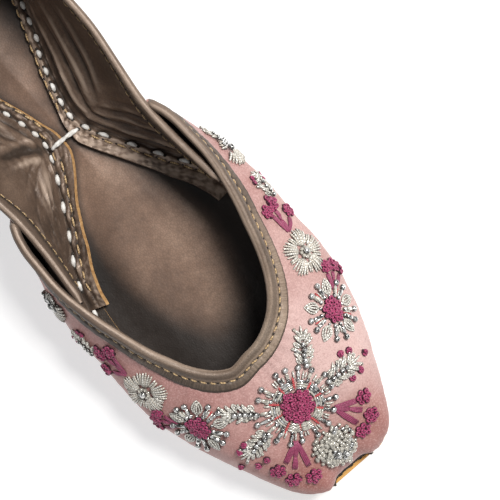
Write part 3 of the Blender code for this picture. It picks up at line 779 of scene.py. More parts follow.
# the cut edge slopes, so that its raw face looks up
slope = np.where(QSIGN < 0, 1.0, 0.25) * (1.0 - 0.5 * smooth(168.0, 190.0, foot_t))
for row in range(3):
    Q[:, row] += (Q[:, 8] - Q[:, row]) / np.linalg.norm(Q[:, 8] - Q[:, row], axis=-1, keepdims=True) \
        * (slope * (1.0 - row / 3.0) * 0.62)[:, None]
arc = np.concatenate([np.zeros((len(QU), 1)), np.cumsum(np.linalg.norm(np.diff(Q, axis=1), axis=-1), axis=1)], 1)
STITCH_IN = 3.6
Q_ARC = arc - (q_w - STITCH_IN)[:, None]        # 0 on the white stitch line, + up the wall
Q_T = Q[..., 1]

STITCH_R = (213.0, 207.0, 200.5, 195.3, 188.7, 182.5, 176.4, 170.3, 163.1, 156.5, 146.8, 137.8, 129.2, 120.6)
STITCH_L = (213.0, 206.0, 199.4, 193.0, 186.6, 180.0, 173.8, 168.2, 162.8, 155.5, 146.4, 136.8, 128.8, 120.2)
HEEL_STITCHES = (219.5, 225.8, 231.6)

# Creases of the lining: side, depth, width, then (t, height over the stitch
# line) along each one.  A minus depth is a ridge.
CREASES = (
    # right wall, in front of the tie: long folds that fan out from it
    (1, 0.95, 1.5, ((167, 2.2), (160, 3.0), (150, 3.8), (139, 4.2), (128, 4.0), (118, 3.0))),
    (1, -0.75, 1.7, ((165, 4.8), (157, 6.0), (147, 7.0), (136, 7.6), (124, 7.2), (117, 6.4))),
    (1, 0.90, 1.4, ((166, 6.8), (158, 9.0), (148, 10.6), (137, 11.3), (126, 11.0), (118, 10.2))),
    (1, -0.60, 1.7, ((165, 9.2), (156, 12.6), (146, 14.4), (136, 15.0), (126, 14.8))),
    (1, 0.75, 1.5, ((166, 11.0), (157, 15.6), (147, 18.0), (136, 18.8), (127, 18.4))),
    (1, -0.40, 2.0, ((165, 14.5), (155, 19.4), (145, 21.6), (135, 22.2))),
    (1, 0.40, 1.6, ((166, 17.0), (156, 22.2), (146, 24.8), (138, 25.4))),
    # right wall, behind the tie
    (1, 1.05, 1.5, ((164, 2.6), (172, 3.8), (182, 4.6), (193, 4.8), (205, 4.4))),
    (1, -0.95, 1.8, ((165, 5.6), (173, 7.4), (183, 8.6), (195, 8.8), (210, 8.4))),
    (1, 0.90, 1.6, ((165, 7.4), (172, 10.8), (182, 12.6), (192, 13.2), (203, 12.6))),
    (1, -0.85, 2.2, ((166, 12.0), (174, 15.8), (184, 17.4), (195, 18.0), (208, 18.0))),
    (1, 0.75, 1.8, ((166, 15.0), (174, 20.0), (183, 22.2), (192, 23.0), (204, 23.0))),
    (1, -0.60, 2.2, ((168, 20.0), (177, 25.0), (188, 27.0), (200, 27.6))),
    # left wall: the deep fold straight out from the tie
    (-1, 1.25, 2.7, ((166.5, 1.6), (168.6, 5.5), (170.5, 10.0), (172.0, 15.0), (173.2, 21.0))),
    (-1, -0.8, 2.4, ((163.6, 3.8), (165.2, 8.5), (166.6, 13.5), (168.0, 19.0))),
    (-1, -0.6, 2.2, ((171.6, 4.0), (174.2, 9.0), (176.0, 14.5), (177.5, 20.0))),
    # left wall, the puffed part in front of the tie
    (-1, -0.9, 4.6, ((160, 6.5), (155, 8.0), (149, 9.0))),
    (-1, 0.45, 0.8, ((163, 3.6), (157, 4.2), (149, 4.0), (141, 3.2), (133, 2.2))),
    (-1, 0.40, 0.7, ((161, 5.8), (155, 6.0), (148, 5.6), (140, 4.8), (131, 3.6))),
    (-1, 0.40, 0.7, ((158, 8.2), (152, 8.0), (145, 7.2), (138, 6.2), (129, 4.8))),
    (-1, 0.35, 0.7, ((154, 10.4), (148, 9.6), (142, 8.4), (134, 6.8))),
    (-1, 0.45, 0.9, ((150, 12.2), (144, 11.0), (137, 9.4), (129, 7.6), (121, 6.0))),
    (-1, 0.40, 0.9, ((147, 14.6), (141, 12.8), (133, 11.0), (124, 9.2))),
    (-1, 0.35, 1.0, ((158, 13.6), (152, 15.4), (145, 16.4), (137, 15.6))),
    (-1, 0.35, 0.8, ((165, 6.0), (161, 10.2), (157, 13.8))),
    (-1, 0.35, 0.8, ((166, 9.0), (163, 13.8), (159, 18.4))),
    (-1, -0.45, 2.6, ((146, 18.2), (138, 18.8), (130, 18.0))),
    # left wall, behind the tie
    (-1, 0.75, 1.4, ((168, 2.8), (175, 4.2), (185, 5.2), (197, 5.0), (208, 4.6))),
    (-1, -0.5, 1.8, ((171, 6.0), (179, 8.4), (189, 9.4), (200, 9.2))),
    (-1, 0.55, 1.5, ((171, 8.4), (179, 12.0), (189, 13.4), (200, 13.6))),
    (-1, 0.35, 1.4, ((173, 13.0), (181, 17.0), (191, 18.6))),
)


def crease_field(tt, qq, side):
    """Depth of the creases at t and height over the stitch line."""
    out = np.zeros_like(tt)
    for k, (where, depth, width, line) in enumerate(CREASES):
        line = np.array(line, float)
        keep = side == where
        if not keep.any():
            continue
        steps = np.linspace(0, len(line) - 1, 60)
        i = np.minimum(steps.astype(int), len(line) - 2)
        f = steps - i
        m = np.gradient(line, axis=0)
        a, b = line[i], line[i + 1]
        h = f[:, None]
        pts = ((2 * h**3 - 3 * h**2 + 1) * a + (h**3 - 2 * h**2 + h) * m[i]
               + (3 * h**2 - 2 * h**3) * b + (h**3 - h**2) * m[i + 1])
        pts[:, 1] += 0.25 * np.sin(steps * 2.3 + k)
        fade = np.sin(np.pi * np.clip(np.linspace(0.06, 0.97, 60), 0, 1)) ** 0.55
        sel = np.nonzero(keep)
        d2 = (tt[sel][:, None] - pts[:, 0]) ** 2 + (qq[sel][:, None] - pts[:, 1]) ** 2
        j = d2.argmin(1)
        out[sel] += 1.2 * depth * fade[j] * np.exp(-d2[np.arange(len(j)), j] / (width * 0.62) ** 2)
    return out


side_grid = np.repeat(QSIGN[:, None], P.shape[1], 1)
tt = np.repeat(Q_T[:, 24][:, None], P.shape[1], 1)
tt = np.where(Q_ARC > 0, Q_T, tt)
depth = crease_field(tt, Q_ARC, side_grid)
# thin random cockles that follow the folds
fan = soft_noise(np.stack([tt * 0.22, Q_ARC * 1.0, side_grid * 9.0], -1), 3.6, 11)
band = smooth(0.5, 3.0, Q_ARC) * (1 - smooth(10.0, 26.0, Q_ARC))
depth += 0.16 * fan * band * (0.35 + 0.65 * np.exp(-((tt - 158) / 30.0) ** 2))
# the stitch line's own furrow, deeper at each stitch, with lumps between
depth += 0.75 * np.exp(-(Q_ARC / 1.3) ** 2)
for which, stitches in ((1.0, STITCH_R + HEEL_STITCHES), (-1.0, STITCH_L + HEEL_STITCHES)):
    on = side_grid == which
    stitches = sorted(stitches)
    for ts in stitches:
        g = np.exp(-((tt - ts) / 2.0) ** 2)
        depth += on * g * (0.45 * np.exp(-(Q_ARC / 1.0) ** 2))
    for a, b in zip(stitches[:-1], stitches[1:]):
        mid = 0.5 * (a + b)
        w = 0.26 * (b - a)
        g = np.exp(-((tt - mid) / w) ** 2)
        depth -= on * g * (0.95 * np.exp(-((Q_ARC + 1.5) / 1.15) ** 2) + 0.45 * np.exp(-((Q_ARC - 1.7) / 1.2) ** 2))
# wrinkles across the margin
dent = soft_noise(np.stack([tt * 0.8, Q_ARC, side_grid * 5.0], -1), 3.0, 51)
depth += 0.14 * dent * (1.0 - smooth(-2.4, -1.0, Q_ARC))
cross = np.sin(tt * 2.1 + 1.3 * np.sin(tt * 0.63 + side_grid)) + 0.7 * np.sin(tt * 3.7 + side_grid * 2.0 + Q_ARC)
depth += 0.20 * cross * np.exp(-((Q_ARC + 3.2) / 1.6) ** 2)
depth += 0.45 * np.exp(-((Q_ARC + 3.4) / 0.6) ** 2)                # furrow of the second stitch line
calm = smooth(0.0, 3.0, arc[:, -1:] - arc) * smooth(0.0, 2.0, QR - Q_RUN)[:, None]
depth *= calm
# the margin's underside keeps flat, and only the free inside moves
Q = Q - N * (-depth)[..., None] * 1.0
Q_N = normals(Q)
share = 0.35 * smooth(0.12, 0.5, np.concatenate([np.zeros(q_low.shape[1]), QS]))
P2 = P + N * (np.minimum(depth, 0.6) * share[None, :])[..., None] * 0.8

nu, nv = P.shape[:2]
outer, inner, e_low, e_top, e_first, e_last = shell_faces(nu, nv)
kit = Kit("quarter", [LEATHER, LEATHER, RAW], "bronze_leather")
faces = np.concatenate([outer, inner, e_low, e_top, e_first, e_last])
low_mat = np.where(QSIGN[:-1] < 0, 2, 1)
mats = np.concatenate([np.zeros(len(outer) + len(inner), int), low_mat, np.zeros(len(e_top), int),
                       np.full(len(e_first) + len(e_last), 2)])
# painted shade and highlight: darker in the crease troughs and lighter on their ridges, streaks along the folds, a band
# of painted shade behind the tie on the left, the right margin painted lighter, the left one darker and mottled and
# lighter at its front
patchy = smooth(-0.9, 0.5, soft_noise(np.stack([tt, Q_ARC, side_grid * 9.0], -1), 16.0, 41))
tone = depth + 0.30 * patchy * soft_noise(np.stack([tt * 0.26, Q_ARC * 1.5, side_grid * 9.0], -1), 3.4, 21) \
    * smooth(0.8, 3.0, Q_ARC) * (1 - smooth(14.0, 26.0, Q_ARC))
edge_band = 1.0 - smooth(-2.4, -1.0, Q_ARC)
tone += np.where(side_grid < 0, 0.34, 0.0) * np.exp(-((tt - 177.0) / 8.0) ** 2) * smooth(2.0, 7.0, Q_ARC) * (1 - smooth(22.0, 32.0, Q_ARC))
mottle = soft_noise(np.stack([tt * 0.8, Q_ARC, side_grid * 5.0], -1), 2.6, 31)
tone += edge_band * np.where(side_grid > 0, -0.50 + 0.34 * mottle,
                             0.26 + 0.30 * mottle - 0.62 * (1 - smooth(120.0, 131.0, tt)))
fold_shade_and_tone = np.zeros((2, nu * nv, 3))
fold_shade_and_tone[1, :, 0] = tone.ravel()
kit.add(np.concatenate([P2.reshape(-1, 3), Q.reshape(-1, 3)]), faces, (), mats, fold_shade_and_tone.reshape(-1, 3))
quarter = kit.build(50.0)
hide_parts("upper")


def quarter_at(side, t, q):
    """Point and inward normal of the lining at t along the stitch line and q
    above it."""
    n = len(q_half)
    cols = np.arange(0, n) if side > 0 else np.arange(len(QU) - 1, n - 2, -1)
    k0 = np.abs(Q_ARC[cols]).argmin(1)
    tcol = Q_T[cols, k0]
    order = np.argsort(tcol)
    f = np.interp(t, tcol[order], np.arange(len(cols))[order])
    i = int(min(max(math.floor(f), 0), len(cols) - 2))
    a = f - i
    out = []
    for c in (cols[i], cols[i + 1]):
        j = float(np.interp(q, Q_ARC[c], np.arange(Q_ARC.shape[1])))
        j0 = int(min(j, Q_ARC.shape[1] - 2))
        b = j - j0
        out.append((Q[c, j0] * (1 - b) + Q[c, j0 + 1] * b, -(Q_N[c, j0] * (1 - b) + Q_N[c, j0 + 1] * b)))
    p = out[0][0] * (1 - a) + out[1][0] * a
    nn = unit(out[0][1] * (1 - a) + out[1][1] * a)
    return p, nn


# ------------------------------------------------------------- bindings
def rim_frames(edge, below, n_out):
    """Along a rim: place, direction along, outward, and down the face."""
    tang = unit(np.gradient(edge, axis=0))
    n_out = unit(n_out - (n_out * tang).sum(-1, keepdims=True) * tang)
    up = np.cross(n_out, tang)
    flip = ((edge - below) * up).sum(-1) < 0
    up[flip] *= -1
    return tang, n_out, up


def arc_pts(cx, cy, r, a0, a1, n):
    return [(cx + r * math.cos(math.radians(a)), cy + r * math.sin(math.radians(a))) for a in np.linspace(a0, a1, n)]


def binding_profile(kind):
    """(down the face, above it) round a folded edge strip, outer side first."""
    if kind == "throat":
        return ([(4.90, -0.05), (4.95, 0.32), (4.65, 0.50), (4.0, 0.56), (3.0, 0.58), (2.15, 0.50), (1.7, 0.30), (1.4, 0.12),
                 (1.1, 0.24), (0.75, 0.46), (0.3, 0.62)]
                + arc_pts(-1.25, -0.85, 1.85, 52, 296, 18)
                + [(0.3, -2.55), (1.0, -2.40), (2.2, -2.35), (3.4, -2.32), (4.1, -2.24), (4.3, -2.05), (4.2, -1.85)]
                + [(2.6, -1.78), (1.2, -1.72), (0.1, -1.6), (0.0, -0.9), (0.1, -0.18), (1.4, -0.10), (3.0, -0.08)])
    return ([(2.9, -0.05), (2.9, 0.18), (2.5, 0.34), (1.6, 0.40), (0.8, 0.42), (0.3, 0.40)]
            + arc_pts(-0.85, -0.85, 1.5, 48, 300, 16)
            + [(0.3, -2.30), (1.0, -2.22), (1.55, -2.20), (1.95, -2.08), (2.25, -1.92), (2.55, -2.08), (2.95, -2.18),
               (3.5, -2.16), (3.9, -2.02), (3.9, -1.75), (2.4, -1.66), (1.2, -1.62), (0.1, -1.5), (0.0, -0.9),
               (0.1, -0.2), (1.4, -0.10)])


# along the throat and round the wings' ends
th_runs = np.concatenate([np.arange(0.0, WING_END - 6.0, 0.8), np.linspace(WING_END - 6.0, WING_END - 0.25, 14)])
TU = np.concatenate([-th_runs[:0:-1], th_runs])
edge = vamp_outer(TU, np.ones_like(TU))
below = vamp_outer(TU, np.full_like(TU, 0.93))
g0, g1 = vamp_outer(TU - 0.05, np.ones_like(TU)), vamp_outer(TU + 0.05, np.ones_like(TU))
lo = vamp_outer(TU, np.full_like(TU, 0.985))
n_out = unit(np.cross(g1 - g0, edge - lo))
tang, n_out, up = rim_frames(edge, below, n_out)
# the frames are eased along the rim
for _ in range(3):
    n_out[1:-1] = unit(n_out[:-2] + n_out[1:-1] * 2 + n_out[2:])
    up[1:-1] = unit(up[:-2] + up[1:-1] * 2 + up[2:])
wall_t = 1.8 + (1.4 - 1.8) * smooth(Q_RUN - 14.0, Q_RUN, np.abs(TU))
prof = np.array(binding_profile("throat"))
profs = np.repeat(prof[None], len(TU), 0)
inside = profs[:, :, 1] < -0.5
scale_in = (wall_t / 1.8)[:, None]
profs[:, :, 1] = np.where(inside, profs[:, :, 1] * (0.55 + 0.45 * scale_in), profs[:, :, 1])
# how far the face curves away below the rim
dev = np.zeros((len(TU), prof.shape[0]))
seg = np.linalg.norm(edge - below, axis=1) / 0.07
for j, (d, h) in enumerate(prof):
    if d > 0.4:
        s = 1.0 - d / seg
        p = vamp_outer(TU, s)
        dev[:, j] = ((p - (edge - up * d)) * n_out).sum(-1)
fade = 1.0 - smooth(WING_END - 14.0, WING_END - 6.0, np.abs(TU))
profs[:, :, 1] += dev * fade[:, None]
wave = 0.05 * np.sin(TU * 0.9) + 0.04 * np.sin(TU * 2.3 + 1.0)
profs[:, :, 1] += wave[:, None] * (prof[None, :, 0] > 0.2) * (prof[None, :, 1] > 0)
# the strip narrows and dips at the wings' ends
end = smooth(WING_END - 5.0, WING_END, np.abs(TU))
profs *= (1.0 - 0.45 * end ** 2)[:, None, None]
edge = edge - up * (2.2 * end ** 2)[:, None]
kit = Kit("throat_binding", [PIPING], "bronze_leather")
d, h = prof[:, 0], prof[:, 1]
# per profile point: painted shade in the groove, at the outer edge, on the roll's outer flank and on the inside strip;
# painted highlight on the flat and along the roll's crest
shade = np.where((h > -0.6) & (d > 0.9) & (d < 1.95), 0.85, 0.0)
shade = np.where((h > -0.6) & (d > 4.4), 0.95, shade)
shade = np.where((h > -0.6) & (d > 2.0) & (d < 4.2), -0.30, shade)
shade = np.where((d < -2.2) & (h > -1.5) & (h < -0.2), -0.62, shade)
shade = np.where((d > -1.9) & (d < 0.2) & (h > 0.3), 0.55, shade)
shade = np.where(h < -2.0, 0.55, shade)
# painted shade: the flat of the strip is darker on the left, away from the key light, and towards the wings, and paler
# on the right
left_shade = 1.0 - smooth(-16.0, 16.0, edge[:, 0])
shade = shade[None, :] + ((h > -0.6) & (d > 1.9))[None, :] * (1.05 * left_shade + 0.85 * smooth(84.0, 104.0, edge[:, 1]))[:, None]
shade = shade + 0.16 * np.sin(TU * 2.9 + 1.7 * np.sin(TU * 0.7))[:, None] * ((h > -0.6) & (d > 1.9))[None, :]
sweep(kit, edge, -up, n_out, profs, shade=shade)
throat_binding = kit.build(60.0)
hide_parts("throat_piping")
THROAT = dict(edge=edge, up=up, n=n_out, tang=tang, seg=seg, dev=dev, prof=prof, u=TU, fade=fade)

# the quarter's topline
tl_edge = P[:, -1]
lo = P[:, -2]
n_out = unit(np.cross(np.gradient(tl_edge, axis=0), tl_edge - lo))
tang, n_out, up = rim_frames(tl_edge, P[:, -5], n_out)
seg = np.linalg.norm(P[:, -1] - P[:, -5], axis=1) / (QS[-1] - QS[-5])
prof = np.array(binding_profile("topline"))
profs = np.repeat(prof[None], len(tl_edge), 0)
for j, (d, h) in enumerate(prof):
    if d > 0.4:
        s = 1.0 - d / seg
        x, t, z = main_point(QR, s)
        p = np.stack([x * QSIGN, t, z], -1)
        profs[:, j, 1] += ((p - (tl_edge - up * d)) * n_out).sum(-1)
wave = 0.06 * np.sin(QU * 0.7) + 0.04 * np.sin(QU * 1.9 + 1.0)
profs[:, :, 1] += wave[:, None] * (prof[None, :, 1] < -1.9)
# in front its inner leaf stands a little off the wall
TL_PUSH = 1.9 * (1 - smooth(34.0, 66.0, QR - Q_RUN))
profs[:, :, 1] -= TL_PUSH[:, None] * (smooth(0.6, 2.2, prof[:, 0]) * (prof[:, 1] < -1.7))[None, :]
end = 1.0 - smooth(0.0, 6.0, QR - Q_RUN)
profs *= (1.0 - 0.35 * end ** 2)[:, None, None]
kit = Kit("topline_binding", [PIPING], "bronze_leather")
d, h = prof[:, 0], prof[:, 1]
# per profile point: painted shade on the inside strip and its groove and on the roll's outer flank, painted highlight
# along the roll's crest
shade = np.where((h < -1.6) & (d > 1.2) & (d < 3.2), 0.80, 0.0)
shade = np.where((h < -1.6) & (d > 3.3), 0.4, shade)
shade = np.where((d < -1.9) & (h > -1.6) & (h < -0.2), -0.50, shade)
shade = np.where((d > -1.4) & (d < 0.4) & (h > 0.2), 0.45, shade)
sweep(kit, tl_edge, -up, n_out, profs, shade=shade)
s_in = 1.0 - 2.45 / seg
x, t, z = main_point(QR, s_in)
TL_DEV = ((np.stack([x * QSIGN, t, z], -1) - (tl_edge - up * 2.45)) * n_out).sum(-1)
topline_binding = kit.build(60.0)
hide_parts("topline_piping")
TOPLINE = dict(edge=tl_edge, up=up, n=n_out, tang=tang, u=QU)

# ------------------------------------------------------------- the sole
def ladder(name, inset, low_f, high_f, mats_, slot, rounding, across=15, dome=0.0, count=360, shade=None):
    """A flat layer cut to the sole's outline, with eased edges."""
    runs = np.linspace(0.0, TOTAL, count)
    x, t = _outline(runs, inset)
    keep = (runs > float(RUN[1]) + inset * 0.7) | (runs < 0)
    x, t = x[keep], t[keep]
    x = np.concatenate([[max(12.0 - inset, 1.0)], x]); t = np.concatenate([[inset], t])
    good = np.concatenate([[True], np.diff(t) > 0.02])
    x, t = x[good], t[good]
    x[-1] = 0.02
    fr = 1.0 - (1.0 - np.linspace(0.0, 1.0, across)) ** 1.6
    half = np.concatenate([-fr[::-1], fr[1:]])
    X = x[:, None] * half[None, :]
    Tm = np.repeat(t[:, None], len(half), 1)
    edge_d = np.minimum(x[:, None] * (1 - np.abs(half))[None, :], np.minimum(Tm - inset, LENGTH - inset - Tm))
    ease = rounding * (1 - np.sqrt(np.clip(1 - (1 - np.clip(edge_d / rounding, 0, 1)) ** 2, 0, 1)))
    top = high_f(Tm) - ease
    if dome:
        top = top + dome * smooth(10.5, 24.0, edge_d)
    bot = low_f(Tm) + ease
    hi = np.stack([X, Tm, top], -1)
    lw = np.stack([X, Tm, bot], -1)
    nu, nv = X.shape
    outer, inner, e_low, e_top, e_first, e_last = shell_faces(nu, nv)
    kit = Kit(name, mats_, slot)
    faces = np.concatenate([outer, inner, e_low, e_top, e_first, e_last])[:, ::-1]
    margin_shadow = np.zeros((2, nu * nv, 3))
    if shade is not None:
        margin_shadow[0, :, 0] = shade(X, Tm).ravel()
    kit.add(np.concatenate([hi.reshape(-1, 3), lw.reshape(-1, 3)]), faces, (), 0, margin_shadow.reshape(-1, 3))
    return kit.build(40.0)


def margin_edge(side):
    """Half width of the open footbed beside the turned-in margin, by t."""
    pick = (QSIGN == side) & (QR < TOTAL - 6.0)
    line = Q[pick, 0]
    order = np.argsort(line[:, 1])
    return lambda tt: np.interp(tt, line[order, 1], np.abs(line[order, 0]))


def margin_shadow(x, tt):
    """Painted shadow: dark bands of the footbed beside and under the margins."""
    r = np.maximum(margin_edge(1.0)(tt) - x, 0.0)
    w = 2.4 + 6.5 * (1 - smooth(112.0, 146.0, tt))
    right_band = np.exp(-(r / w) ** 2) * smooth(106.0, 116.0, tt) * (1 - 0.4 * smooth(168.0, 184.0, tt))
    l = np.maximum(x + margin_edge(-1.0)(tt), 0.0)
    left_band = 0.80 * np.exp(-(l / (2.2 + 3.5 * (1 - smooth(112.0, 140.0, tt)))) ** 2) * smooth(106.0, 116.0, tt)
    return np.clip(right_band + left_band, 0.0, 1.0)


sole = ladder("sole", 0.0, underside, sole_top, [SOLE], "sole_leather", 0.45)
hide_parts("outsole")
footbed = ladder("footbed", 1.7, lambda t: sole_top(t) + GAP, lambda t: sole_top(t) + GAP + INSOLE_THICK,
                 [FOOTBED], "bronze_leather", 0.4, across=40, dome=0.9, shade=margin_shadow)
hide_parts("insole")

# ------------------------------------------------------------- stitches
gold = Kit("binding_stitches", [GOLD, HOLE_SHADE_AND_PASTE], "gold_thread")


def stitch(kit, a, b, n, r, lift=0.15, mat=0, sides=7, flat=0.8, pts=6):
    """One stitch from a to b, arched a little off the surface."""
    s = np.linspace(0.0, 1.0, pts)[:, None]
    arch = np.sin(s * math.pi) * lift
    tube(kit, a * (1 - s) + b * s + n * arch, n, r * (0.75 + 0.25 * np.sin(s[:, 0] * math.pi)), flat, sides, mat)


# machine stitches in the groove of the throat binding
line = THROAT["edge"] - THROAT["up"] * 1.42 + THROAT["n"] * 0.16
dist = np.concatenate([[0], np.cumsum(np.linalg.norm(np.diff(line, axis=0), axis=1))])
pitch = 3.5
for k in range(int(dist[-1] / pitch) - 1):
    c = (k + 0.7) * pitch + rng.uniform(-0.08, 0.08)
    half = 1.22 + rng.uniform(-0.1, 0.1)
    p = np.stack([[np.interp(c + h, dist, line[:, i]) for i in range(3)] for h in (-half, half)])
    n = unit(np.array([np.interp(c, dist, THROAT["n"][:, i]) for i in range(3)]))
    skew = rng.uniform(-0.05, 0.05)
    u = unit(np.array([np.interp(c, dist, THROAT["up"][:, i]) for i in range(3)]))
    stitch(gold, p[0] + u * (0.16 + skew), p[1] - u * (0.16 + skew), n, 0.36, 0.20)
    away = unit(p[1] - p[0])
    # a flat dark disc past the stitch's end: painted shade in its needle hole
    bead(gold, p[1] + away * 0.62 - n * 0.10, n, 0.50, 0.55, 1)

# and inside the topline, in its groove
line = TOPLINE["edge"] - TOPLINE["up"] * 2.45 + TOPLINE["n"] * (TL_DEV - 2.36 - TL_PUSH)[:, None]
dist = np.concatenate([[0], np.cumsum(np.linalg.norm(np.diff(line, axis=0), axis=1))])
pitch = 3.45
for k in range(int((dist[-1] - 5.0) / pitch)):
    c = 3.0 + (k + 0.5) * pitch + rng.uniform(-0.08, 0.08)
    half = 1.22 + rng.uniform(-0.12, 0.12)
    p = np.stack([[np.interp(c + h, dist, line[:, i]) for i in range(3)] for h in (-half, half)])
    n = -unit(np.array([np.interp(c, dist, TOPLINE["n"][:, i]) for i in range(3)]))
    stitch(gold, p[0], p[1], n, 0.36, 0.12)
    # a flat dark disc past the stitch's end: painted shade in its needle hole
    bead(gold, p[1] + unit(p[1] - p[0]) * 0.55 - n * 0.2, n, 0.40, 0.6, 1)

# second, finer stitch line on the turned-in margin
for side in (1, -1):
    t = 116.5
    while t < 232.0:
        step = 4.5 + rng.uniform(-0.4, 0.4)
        gap = 0.62 if 158.0 < t < 172.0 else 0.0
        q0, q1 = -3.4 + gap * 3 + rng.uniform(-0.45, 0.2), -3.4 + gap * 3 + rng.uniform(-0.2, 0.45)
        (a, na), (b, nb) = quarter_at(side, t, q0), quarter_at(side, t + step * 0.70, q1)
        if not 162.0 < t < 167.5:
            stitch(gold, a + na * 0.18, b + nb * 0.18, unit(na + nb), 0.44 if side < 0 else 0.38, 0.30)
            # a flat dark disc past the stitch's end: painted shade in its needle hole
            bead(gold, b + unit(b - a) * 0.5 + nb * 0.02, nb, 0.5, 0.5, 1)
        t += step
gold.build(0)

# thick white running stitch, and the tie across the waist
white = Kit("white_stitches", [WHITE, HOLE_SHADE_AND_PASTE], "white_thread")


def plied(kit, pts, n, radius, turns, plies=3, ends=0.6, steps=None):
    """Thick thread of twisted plies."""
    pts = np.asarray(pts, float)
    m = steps or 26
    s = np.linspace(0, len(pts) - 1, m)
    path = np.stack([np.interp(s, np.arange(len(pts)), pts[:, i]) for i in range(3)], -1)
    tang = unit(np.gradient(path, axis=0))
    side = unit(np.cross(tang, n))
    up = unit(np.cross(side, tang))
    f = np.linspace(0, 1, m)
    swell = np.minimum(1.0, 0.55 + 2.2 * np.minimum(f, 1 - f) ** 0.8)
    for k in range(plies):
        a = turns * 2 * math.pi * f + k * 2 * math.pi / plies
        r = radius * 0.36 * swell
        tube(kit, path + side * (np.cos(a) * r)[:, None] + up * (np.sin(a) * r * 0.8)[:, None], up,
             radius * 0.72 * swell, 0.95, 10, 0, ends)


def fat_stitch(kit, a, b, n, r):
    """A plump stitch that dives into dark needle holes at both ends, each a flat dark disc of painted shade."""
    s = np.linspace(0.0, 1.0, 17)
    swell = np.sin(np.pi * np.clip(s, 0.03, 0.97))
    pts = a * (1 - s)[:, None] + b * s[:, None] + n * (r * 0.85 * swell ** 0.7 - 0.30)[:, None]
    away = unit(b - a)
    # flat dark discs at both ends: painted shade in the needle holes
    for end, d in ((a, -away), (b, away)):
        bead(kit, end + d * 0.25 + n * 0.02, n, 0.72, 0.45, 1)
    tube(kit, pts, n, r * swell ** 0.55, 0.82, 12, 0, 1.0)


for side, stitches in ((1, STITCH_R + HEEL_STITCHES), (-1, STITCH_L + HEEL_STITCHES)):
    for ts in stitches:
        half = (2.0 if ts < 160.0 else 1.6) + rng.uniform(-0.15, 0.15)
        q = (-1.5 if side > 0 else 0.2) if ts < 200.0 else 0.0
        a, na = quarter_at(side, ts - half, q)
        b, nb = quarter_at(side, ts + half, q)
        m, nm = quarter_at(side, ts, q)
        n = unit(na + nb + nm)
        if n[2] < 0:
            n = -n
        fat_stitch(white, a, b, n, 0.92 + rng.uniform(-0.05, 0.05))
# the first stitch on each side, on the vamp's own margin in front of the quarter
for side in (-1, 1):
    a, b = np.array([side * 37.1, 106.4, 7.7]), np.array([side * 35.8, 110.6, 7.7])
    fat_stitch(white, a, b, np.array([0, 0, 1.0]), 0.92)
white.build(0)

tie = Kit("waist_tie", [WHITE, HOLE_SHADE_AND_PASTE], "white_thread")
pa = min((quarter_at(1, 164.6, q)[0] for q in np.linspace(-9.0, 2.0, 45)), key=lambda p: abs(p[0] - 4.6))
pb = min((quarter_at(-1, 165.4, q)[0] for q in np.linspace(-9.0, 3.0, 49)), key=lambda p: abs(p[0] + 6.6))
top_z = max(pa[2], pb[2]) + 1.1
mid = [pa + (0.5, 0.0, -0.9), np.array([pa[0] - 0.5, 164.7, top_z - 0.25]), np.array([0.9, 165.0, top_z + 0.15]),
       np.array([-2.8, 165.2, top_z + 0.1]), np.array([pb[0] + 0.5, 165.3, top_z - 0.3]), pb + (-0.5, 0.1, -0.9)]
mid = np.array(mid)
s = np.linspace(0, 5, 40)
i = np.minimum(s.astype(int), 4)
f = (s - i)[:, None]
g = np.gradient(mid, axis=0)
path = ((2 * f**3 - 3 * f**2 + 1) * mid[i] + (f**3 - 2 * f**2 + f) * g[i] + (3 * f**2 - 2 * f**3) * mid[i + 1]
        + (f**3 - f**2) * g[i + 1])
plied(tie, path, np.array([0, 0, 1.0]), 0.88, 1.6, plies=2, steps=60)
# flat dark discs at the tie's ends: painted shade in its needle holes
for end, d in ((pa, 1), (pb, -1)):
    bead(tie, end + (0.6 * d, 0, 0.05), (0, 0, 1), 0.85, 0.4, 1)
tie.build(0)

# ------------------------------------------------------------- embroidery
sheet_pts = VAMP_P[:, n_margin:]
nu, nv = sheet_pts.shape[:2]
idx = np.arange(nu * nv).reshape(nu, nv)
quads = np.stack([idx[:-1, :-1], idx[1:, :-1], idx[1:, 1:], idx[:-1, 1:]], -1).reshape(-1, 4)
SURFACE = BVHTree.FromPolygons([Vector(p) for p in sheet_pts.reshape(-1, 3).tolist()], quads.tolist())


def drop(x, t):
    """The satin under a point of the plan, or the nearest to it."""
    for _ in range(60):
        hit = SURFACE.ray_cast(Vector((x, t, 90.0)), Vector((0, 0, -1)))
        if hit[0] is not None:
            n = np.array(hit[1])
            return np.array(hit[0]), n if n[2] > 0 else -n
        x -= 0.3 * (1 if x > 0 else -1)
    raise ValueError("no surface under the chart point")


class Spot:
    """A place on the satin with directions in its surface: a outward across
    the shoe and b towards the heel."""

    def __init__(self, x, t, side=1, turn=0.0):
        self.side = side
        self.p, self.n = drop(x * side, t)
        b = np.array([0.0, 1.0, 0.0])
        self.b = unit(b - self.n * (b @ self.n))
        self.a = np.cross(self.b, self.n) * side
        if turn:
            c, s = math.cos(math.radians(turn)), math.sin(math.radians(turn))
            self.a, self.b = self.a * c + self.b * s, self.b * c - self.a * s

    def at(self, a, b, h=0.0):
        q = self.p + self.a * a + self.b * b
        hit = SURFACE.ray_cast(Vector(q + self.n * 9.0), Vector(-self.n), 22.0)
        if hit[0] is None:
            hit = SURFACE.find_nearest(Vector(q))
        n = np.array(hit[1])
        if n @ self.n < 0:
            n = -n
        return np.array(hit[0]) + n * h, n

    def local(self, p):
        d = p - self.p
        return float(d @ self.a), float(d @ self.b)


